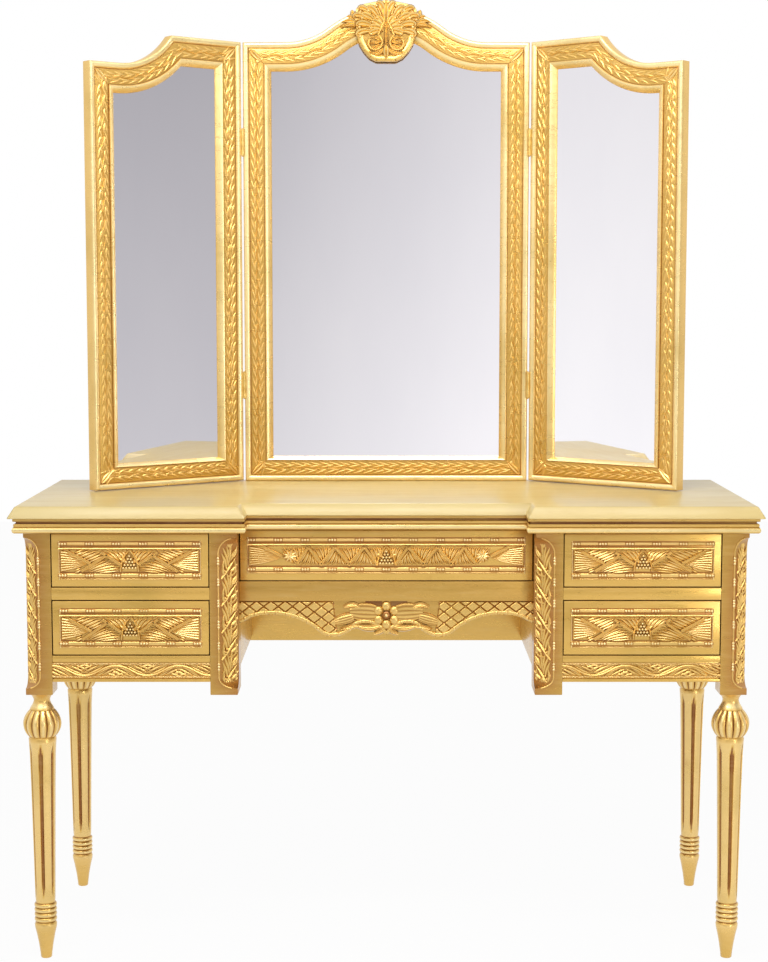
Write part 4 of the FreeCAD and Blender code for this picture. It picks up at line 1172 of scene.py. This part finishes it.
def makeApron():
    low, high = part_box("apron")
    edge = apronEdge()
    carving = Carving()
    ground = low.y + apron["relief"]
    rings, depths = [], []
    for column in range(apron["columns"] + 1):
        x = low.x + (high.x - low.x) * column / apron["columns"]
        drop = edgeHeight(edge, x) - high.z
        ring = []
        for row in range(apron["rows"] + 1):
            v = drop * row / apron["rows"]
            rise, depth = latticeAt(x, v)
            ring.append(Vector((x, ground - rise, high.z + v)))
            depths.append(depth)
        rings.append(ring + [Vector((x, high.y, high.z + drop)), Vector((x, high.y, high.z))])
        depths += [0.4, 0.4]
    carving.loft(rings, depths)
    place = frontPanel(0, ground, high.z)
    carveEdge(carving, place, edge, high.z)
    for side in (-1, 1):
        carveApronLeaves(carving, place, side)
    carveFlower(carving, place)
    finishCarving("carved_apron", carving, "table", "apron")


def carveEdge(carving, place, edge, top):
    half = apron["edge"][0] / 2
    left, right = edge[0][0], edge[-1][0]
    count = 2 * round(right / apron["tie"] * 2)
    spots = [left + (right - left) * index / count for index in range(count + 1)]
    spots = [(x, edgeHeight(edge, x) - top + half) for x in spots]
    for index in range(count):
        stroke(carving, place, spots[index:index + 2], *apron["edge"], softReed, evenSwell, 3)
        if index % 2:
            bead(carving, place, *spots[index], *apron["edgeBead"], tone=0.72)


def carveFlower(carving, place):
    middle = Vector(apron["flower"])
    start, end = apron["petalLine"]
    for petal in range(apron["petals"]):
        turn = 2 * math.pi * (petal + 0.5) / apron["petals"]
        out = Vector((math.cos(turn), math.sin(turn)))
        spot = middle + out * apron["petalReach"] * mm
        bead(carving, place, *spot, *apron["petal"], sides=16, tone=0.66)
        line = [middle + out * start * mm, middle + out * end * mm]
        stroke(carving, place, line, 2.4 * mm, 6.8 * mm, softReed)
    # a dark boss under the pip: painted shade round the flower's middle
    bead(carving, place, *middle, *apron["eye"], sides=16, tone=0.12)
    bead(carving, place, *middle, *apron["pip"], sides=14)


def carveApronLeaves(carving, place, side):
    for route, wide in apron["leaves"]:
        spots = [(side * u * mm, v * mm) for u, v in route]
        stroke(carving, place, spots, wide * mm, apron["leafRise"], shellSection, lobeSwell)


makeApron()
print("apron made")


# Mirror frames: mitred members of one section, with a vine in the sunk band

mirrorFrame = {
    "section": [  # distance from the outer edge, height above the back, depth
        (0, 0, 0.6), (0, 22.2, 0.8), (0.9, 23.4, 0.95), (2.6, 24, 1), (5, 24, 1), (7.6, 23.3, 1),
        (9.6, 21.9, 0.9), (10.6, 20.8, 0.4), (11.2, 20, 0.06), (12.6, 20.2, 0.4), (37.2, 20.2, 0.4),
        (38.4, 20, 0.06), (39, 22, 0.5), (41, 23.3, 1), (45, 22.2, 0.95), (51, 14.5, 0.8), (52, 13, 0.3),
        (44, 13, 0.3), (44, 0, 0.3)],
    "band": 25 * mm,        # middle of the vine
    "bandRise": 19.8 * mm,  # its ground above the back
    "vine": [  # item, pitch, lean, distance from the middle
        (bandLeaf, 9 * mm, 0.3, 7.4 * mm), (bandLeaf, 12 * mm, -0.18, 3 * mm),
        (bandStem, 18 * mm, 0.22, 0.6 * mm)],
    "vineEnd": 7 * mm,      # the vine stops this far from the mitre
    "mitre": (13 * mm, 37 * mm),      # from and to of the leaf on a mitre
    "mitreLeaf": (12 * mm, 3.8 * mm),
    "slope": 38 * mm,       # where the inner slope starts
    "sill": 8 / 14,         # the bottom rail's inner slope is shorter
}
centreMirror = {
    "side": 264 * mm,
    "foot": 780 * mm,
    "head": 1590 * mm,
    "flat": 185 * mm,       # where the hollows of the top start
    "hollow": 132 * mm,     # their radius
    "turn": math.radians(37.3),
}
wing = {
    "near": 1.0 * mm,       # from the hinge
    "far": 316.5 * mm,
    "foot": 781.5 * mm,
    "high": 1590 * mm,
    "low": 1534 * mm,
    "middle": 257 * mm,     # where the hollow of the top ends
    "hollow": 132 * mm,
    "back": 25 * mm,
    "hinge": (265 * mm, 200 * mm),
    "open": 38,             # degrees at rest
}


def sillDepth(d):
    slope = mirrorFrame["slope"]
    return d if d <= slope else slope + (d - slope) * mirrorFrame["sill"]


# an outline gives each member's stations: where the point d inside the outer edge lies

def centreOutline():
    side, foot, head = (centreMirror[name] for name in ("side", "foot", "head"))
    flat, hollow, turn = (centreMirror[name] for name in ("flat", "hollow", "turn"))
    crown = (flat - hollow * math.sin(turn)) / math.sin(turn)
    crownZ = head + hollow - hollow * math.cos(turn) - crown * math.cos(turn)

    def footAt(way):
        def spot(d):
            return ((side - d) * way, foot + sillDepth(d))
        return spot

    def headAt(way):
        def spot(d):
            return ((side - d) * way, head - d)
        return spot

    def hollowAt(angle, way):
        def spot(d):
            reach = hollow + d
            return (way * (flat - reach * math.sin(angle)), head + hollow - reach * math.cos(angle))
        return spot

    def crownAt(angle):
        def spot(d):
            return ((crown - d) * math.sin(angle), crownZ + (crown - d) * math.cos(angle))
        return spot
    angles = [turn * step / 10 for step in range(11)]
    top = [headAt(-1)] + [hollowAt(angle, -1) for angle in angles]
    top += [crownAt(turn * step / 12) for step in range(-11, 12)]
    top += [hollowAt(angle, 1) for angle in reversed(angles)] + [headAt(1)]
    return {"left_stile": [footAt(-1), headAt(-1)], "top_rail": top, "right_stile": [headAt(1), footAt(1)],
            "bottom_rail": [footAt(1), footAt(-1)]}


def wingOutline(side):
    low, hollow = wing["low"], wing["hollow"]
    drop = low + hollow - wing["high"]

    def footAt(start, way):
        def spot(d):
            return (side * (start + way * d), wing["foot"] + sillDepth(d))
        return spot

    def headAt(start, way, head):
        def spot(d):
            return (side * (start + way * d), head - d)
        return spot

    def hollowAt(share):
        def spot(d):
            reach = hollow + d
            angle = math.acos((drop + d) / reach) * (1 - share)
            return (side * (wing["middle"] - reach * math.sin(angle)), low + hollow - reach * math.cos(angle))
        return spot
    hingeFoot, hingeHead = footAt(wing["near"], 1), headAt(wing["near"], 1, wing["high"])
    outerFoot, outerHead = footAt(wing["far"], -1), headAt(wing["far"], -1, low)
    top = [hingeHead] + [hollowAt(step / 14) for step in range(15)] + [outerHead]
    return {"stiles": [[hingeFoot, hingeHead], [outerHead, outerFoot]], "top_rail": [top],
            "bottom_rail": [[outerFoot, hingeFoot]]}


def carveMember(carving, stations, back):
    section = mirrorFrame["section"]
    rings = []
    for spot in stations:
        ring = []
        for d, rise, depth in section:
            x, z = spot(d * mm)
            ring.append(Vector((x, back - rise * mm, z)))
        rings.append(ring)
    carving.loft(rings, [depth for d, rise, depth in section])
    path = []
    for spot in stations:
        x, z = spot(mirrorFrame["band"])
        path.append(Vector((x, back - mirrorFrame["bandRise"], z)))
    path[0] += (path[1] - path[0]).normalized() * mirrorFrame["vineEnd"]
    path[-1] += (path[-2] - path[-1]).normalized() * mirrorFrame["vineEnd"]
    for item, pitch, lean, aside in mirrorFrame["vine"]:
        addRun(carving, path, item, pitch, lean, aside)


def carveMitres(carving, stations, back):
    place = frontPanel(0, back - mirrorFrame["bandRise"], 0)
    for spot in (stations[0], stations[-1]):
        route = [spot(d) for d in mirrorFrame["mitre"]]
        stroke(carving, place, route, *mirrorFrame["mitreLeaf"])


def makeCentreMirror():
    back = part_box("mirror_left_stile")[1].y
    for member, stations in centreOutline().items():
        carving = Carving()
        carveMember(carving, stations, back)
        if member.endswith("rail"):
            carveMitres(carving, stations, back)
        finishCarving(f"carved_{member}", carving, "table", f"mirror_{member}")


def makeWings():
    hingeX, hingeY = wing["hinge"]
    for body, side in (("left_wing", -1), ("right_wing", 1)):
        turned = Matrix.Rotation(math.radians(-side * wing["open"]), 4, "Z")
        hinge = Matrix.Translation((side * hingeX, hingeY, 0)) @ turned
        for member, runs in wingOutline(side).items():
            carving = Carving()
            for stations in runs:
                carveMember(carving, stations, wing["back"])
                if member.endswith("rail"):
                    carveMitres(carving, stations, wing["back"])
            carving.move(hinge)
            finishCarving(f"{body}_carved_{member}", carving, body, f"{body}_{member}")


makeCentreMirror()
makeWings()
print("mirror frames made")


# Crest: a plate with hooked leaves above two scrolls, a bud and a broad pale rim

crest = {
    "plate": [  # half outline, across and up from the plate's foot
        (0, 0), (19, 0), (31, 6), (42, 18), (50, 31), (54, 44), (55, 58), (57, 72), (58, 86), (54, 97),
        (40, 104), (20, 108), (0, 111)],
    "thickness": 8 * mm,
    "plateMiddle": 52 * mm,
    "plateTone": 0.3,
    "tiers": [  # leaves round the middle: reach of root, bend, tip and hook, first angle, step, count, width
        ((0.7, 0.98, 1.3, 1.02), 44, 16, 2, 12), ((0.46, 0.84, 1.06, 0.86), 10, 21, 5, 14),
        ((0.1, 0.36, 0.62, 0.5), 24, 24, 4, 13)],
    "bends": (0, -6, 6, 11),                # degrees at root, bend, tip and hook
    "reach": (57, 54),
    "middle": 57,
    "scroll": ((21, 34), 15, 115, 0.78),    # middle, reach, start and turns
    "scrollTop": (4, 72),
    "scrollSteps": 18,
    "leaves": [  # inside a scroll
        ((9, 38), (18, 46), (29, 42)), ((9, 35), (20, 36), (31, 32)), ((10, 30), (18, 26), (27, 25))],
    "lowLeaves": [((9, 22), (22, 8), (38, 22)), ((6, 24), (10, 14), (22, 9))],  # below it
    "stem": [(72, 111, 14), (26, 78, 8), (30, 3, 15)],  # leaves up the middle: from, to, width
    "wraps": [(74, (84, 62)), (80, (82, 72)), (86, (72, 82)), (92, (62, 94))],  # beside the plate: bend, tip
    "rim": (11 * mm, 2.2 * mm),
}


def makeCrest():
    low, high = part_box("mirror_crest")
    carving = Carving()
    face = high.y - crest["thickness"]
    half = [(x * mm, z * mm) for x, z in crest["plate"]]
    outline = half + [(-x, z) for x, z in reversed(half[1:-1])]
    middle = crest["plateMiddle"]
    rings = [[Vector((x * size, y, low.z + 0.3 * mm + (z - middle) * size + middle)) for x, z in outline]
             for y, size in ((high.y, 1.0), (face + 2 * mm, 1.0), (face + 0.5 * mm, 0.985), (face, 0.95))]
    carving.loft(rings, [crest["plateTone"]] * len(outline))
    place = frontPanel(0, face, low.z)
    wrap = frontPanel(0, high.y + 0.5 * mm, low.z)
    for side in (-1, 1):
        carveHalfCrest(carving, place, side)
        for bend, (tipX, tipZ) in crest["wraps"]:
            route = [(side * 50 * mm, 66 * mm), (side * 64 * mm, bend * mm), (side * tipX * mm, tipZ * mm)]
            stroke(carving, wrap, route, 11 * mm, 5 * mm)
    for start, end, wide in crest["stem"]:
        stroke(carving, place, [(0, start * mm), (0, end * mm)], wide * mm, 6 * mm)
    finishCarving("carved_crest", carving, "table", "mirror_crest")


def carveHalfCrest(carving, place, side):
    def at(u, v):
        return (side * u * mm, v * mm)
    rim = [at(u * 0.88, 5.6 + v * 0.92) for u, v in crest["plate"][:7]]
    for first, second in zip(rim, rim[1:]):
        stroke(carving, place, [first, second], *crest["rim"], softReed, evenSwell, 2)
    reachX, reachZ = crest["reach"]
    for shares, first, step, count, wide in crest["tiers"]:
        for leaf in range(count):
            route = []
            for share, bend in zip(shares, crest["bends"]):
                turn = math.radians(first + step * leaf + bend)
                out, up = share * reachX * math.sin(turn), share * reachZ * math.cos(turn)
                route.append(at(out, crest["middle"] + up))
            stroke(carving, place, route, wide * mm, 5 * mm, leafSection, leafSwell, 10)
            bead(carving, place, *route[-1], 0.24 * wide * mm, 5.2 * mm, sides=8, tone=0.9)
    carveLeaves(carving, place, at, crest["leaves"])
    (u, v), reach, begin, turns = crest["scroll"]
    spots = [at(*crest["scrollTop"])]
    for step in range(crest["scrollSteps"] + 1):
        share = step / crest["scrollSteps"]
        size, turn = reach * (1 - 0.3 * share), math.radians(begin + 360 * turns * share)
        spots.append(at(u + size * math.cos(turn), v + size * math.sin(turn)))
    for first, second in zip(spots, spots[1:]):
        stroke(carving, place, [first, second], 4.6 * mm, 5.6 * mm, ribbonSection, evenSwell, 1)
    carveLeaves(carving, place, at, crest["lowLeaves"])


def carveLeaves(carving, place, at, leaves):
    for leaf in leaves:
        stroke(carving, place, [at(*spot) for spot in leaf], 8 * mm, 4.6 * mm)


makeCrest()
print("crest made")


# Pieces that keep the shape of the frame and get a finish

plainFinish = {
    "sub_top": backWood,
    "bottom_boards": backWood,
    "drawer_runners": drawerWood["y"],
    "mirror_backboard": backWood,
    "mirror_battens": backWood,
    "left_wing_backboard": backWood,
    "right_wing_backboard": backWood,
    "mirror_glass": mirror,
    "left_wing_glass": mirror,
    "right_wing_glass": mirror,
    "centre_hinge_leaves": brass,
    "left_wing_hinge_leaves": brass,
    "right_wing_hinge_leaves": brass,
    "hinge_pins": brass,
    "batten_screws": steel,
}
for name, finish in plainFinish.items():
    setFinish(name, finish)
for item in (bandLeaf, bandStem, threeBeads):
    bpy.data.objects.remove(item)
print("plain pieces finished")


# Studio: white floor and surroundings, soft lamps, and glowing cards that only polished surfaces show, as
# painted reflections in the mirrors and the gilding

studio = {
    "world": 0.43,            # light from all round
    "floor": colour(250, 250, 250),
    "floorHalf": 6,
    "floorRoughness": 0.8,
    "floorGlow": 0.955,       # share of plain white in the floor; the rest takes the shadow
}
lamps = [  # name, place, target, size, watts, whether gloss shows it
    ("key_lamp", (-1.2, -2.6, 3.0), (0, 0, 0.8), (2.4, 1.6), 17, True),
    ("top_lamp", (0, -1.0, 2.15), (0, 0.2, 1.75), (2.0, 0.4), 20, True),
    ("fill_lamp", (1.2, -3.0, 0.6), (0, 0, 0.4), (2.4, 0.9), 22, False),
    ("strip_lamp", (2.3, -2.9, 0.7), (0, 0, 0.5), (0.35, 1.5), 13, True),  # a line of light down the legs
]
# glowing cards seen only in reflections: painted reflections, the room card darker below
cards = [  # name, corners, two shades, the way from one to the other, where it starts and ends
    ("right_card", [(2.5, -2.2, 0.2), (2.5, -0.1, 0.2), (2.5, -0.1, 2.4), (2.5, -2.2, 2.4)],
     (colour(207, 204, 209), colour(175, 172, 177)), (0, 0, 1), (0.4, 2.0)),
    ("left_card", [(-2.5, -2.2, 0.2), (-2.5, -0.1, 0.2), (-2.5, -0.1, 2.4), (-2.5, -2.2, 2.4)],
     (colour(255, 253, 255), colour(234, 231, 234)), (0, 0, 1), (0.4, 2.0)),
    ("room_card", [(-4, -4.5, 0), (4, -4.5, 0), (4, -4.5, 3), (-4, -4.5, 3)],
     (colour(164, 160, 152), colour(255, 255, 255)), (0, 0, 1), (0.5, 2.0)),
    ("rear_card", [(-0.85, -4.2, 0.42), (0.85, -4.2, 0.42), (0.85, -4.2, 2.6), (-0.85, -4.2, 2.6)],
     (colour(250, 247, 250), colour(185, 182, 187)), (-1.69, 0, 1), (-0.27, 3.06)),
]


def seenWhite(tree):
    seen = tree.nodes.new("ShaderNodeLightPath")
    found = seen.outputs["Is Camera Ray"]
    for name in ("Is Glossy Ray", "Is Transmission Ray"):
        either = tree.nodes.new("ShaderNodeMath")
        either.operation = "MAXIMUM"
        link(tree, found, either.inputs[0])
        link(tree, seen.outputs[name], either.inputs[1])
        found = either.outputs[0]
    return found


def flatSheet(name, corners, material):
    mesh = bpy.data.meshes.new(name)
    mesh.from_pydata(corners, [], [(0, 1, 2, 3)])
    mesh.materials.append(material)
    return newObject(name, mesh)


def makeCard(name, corners, shades, way, span):
    material = bpy.data.materials.new(name)
    material.use_nodes = True
    tree = material.node_tree
    tree.nodes.clear()
    place = tree.nodes.new("ShaderNodeTexCoord")
    measure = tree.nodes.new("ShaderNodeVectorMath")
    measure.operation = "DOT_PRODUCT"
    measure.inputs[1].default_value = way
    glow = tree.nodes.new("ShaderNodeEmission")
    result = tree.nodes.new("ShaderNodeOutputMaterial")
    link(tree, place.outputs["Object"], measure.inputs[0])
    shade = ramp(tree, remap(tree, measure.outputs["Value"], *span, 0, 1), list(enumerate(shades)))
    link(tree, shade, glow.inputs["Color"])
    link(tree, glow.outputs["Emission"], result.inputs["Surface"])
    card = flatSheet(name, corners, material)
    card.visible_camera = False
    card.visible_diffuse = False
    card.visible_shadow = False


def makeLamp(name, place, target, size, power, shown):
    lamp = bpy.data.lights.new(name, "AREA")
    lamp.shape = "RECTANGLE"
    lamp.size, lamp.size_y = size
    lamp.energy = power
    holder = newObject(name, lamp)
    holder.location = place
    holder.rotation_euler = (Vector(target) - Vector(place)).to_track_quat("-Z", "Y").to_euler()
    holder.visible_glossy = shown


def makeFloor():
    material, tree, shader = newMaterial("white_floor")
    shader.inputs["Base Color"].default_value = studio["floor"]
    shader.inputs["Roughness"].default_value = studio["floorRoughness"]
    shader.inputs["Specular IOR Level"].default_value = 0
    glow = tree.nodes.new("ShaderNodeEmission")
    blend = tree.nodes.new("ShaderNodeMixShader")
    link(tree, remap(tree, seenWhite(tree), 0, 1, 0, studio["floorGlow"]), blend.inputs[0])
    link(tree, shader.outputs["BSDF"], blend.inputs[1])
    link(tree, glow.outputs["Emission"], blend.inputs[2])
    link(tree, blend.outputs["Shader"], tree.nodes["Material Output"].inputs["Surface"])
    half = studio["floorHalf"]
    corners = [(-half, -half, 0), (half, -half, 0), (half, half, 0), (-half, half, 0)]
    flatSheet("floor", corners, material)


def makeStudio():
    world = bpy.data.worlds.new("studio")
    bpy.context.scene.world = world
    world.use_nodes = True
    tree = world.node_tree
    back = tree.nodes["Background"]
    back.inputs["Color"].default_value = (1, 1, 1, 1)
    link(tree, remap(tree, seenWhite(tree), 0, 1, studio["world"], 1), back.inputs["Strength"])
    makeFloor()
    for lamp in lamps:
        makeLamp(*lamp)
    for card in cards:
        makeCard(*card)


view = {
    "place": (-0.0039, -3.305, 1.128),
    "pitch": 0.099,               # looking down, radians
    "sensor": 36,
    "focus": 1873.9 / 962,        # focal length as a share of the picture's height
}


def makeCamera():
    camera = bpy.data.cameras.new("camera")
    camera.sensor_fit = "AUTO"
    camera.sensor_width = view["sensor"]
    camera.lens = view["focus"] * view["sensor"]
    holder = newObject("camera", camera)
    holder.location = view["place"]
    holder.rotation_euler = (math.pi / 2 - view["pitch"], 0, 0)
    bpy.context.scene.camera = holder


makeStudio()
makeCamera()
bpy.context.scene.view_settings.view_transform = "Standard"
print("studio set")
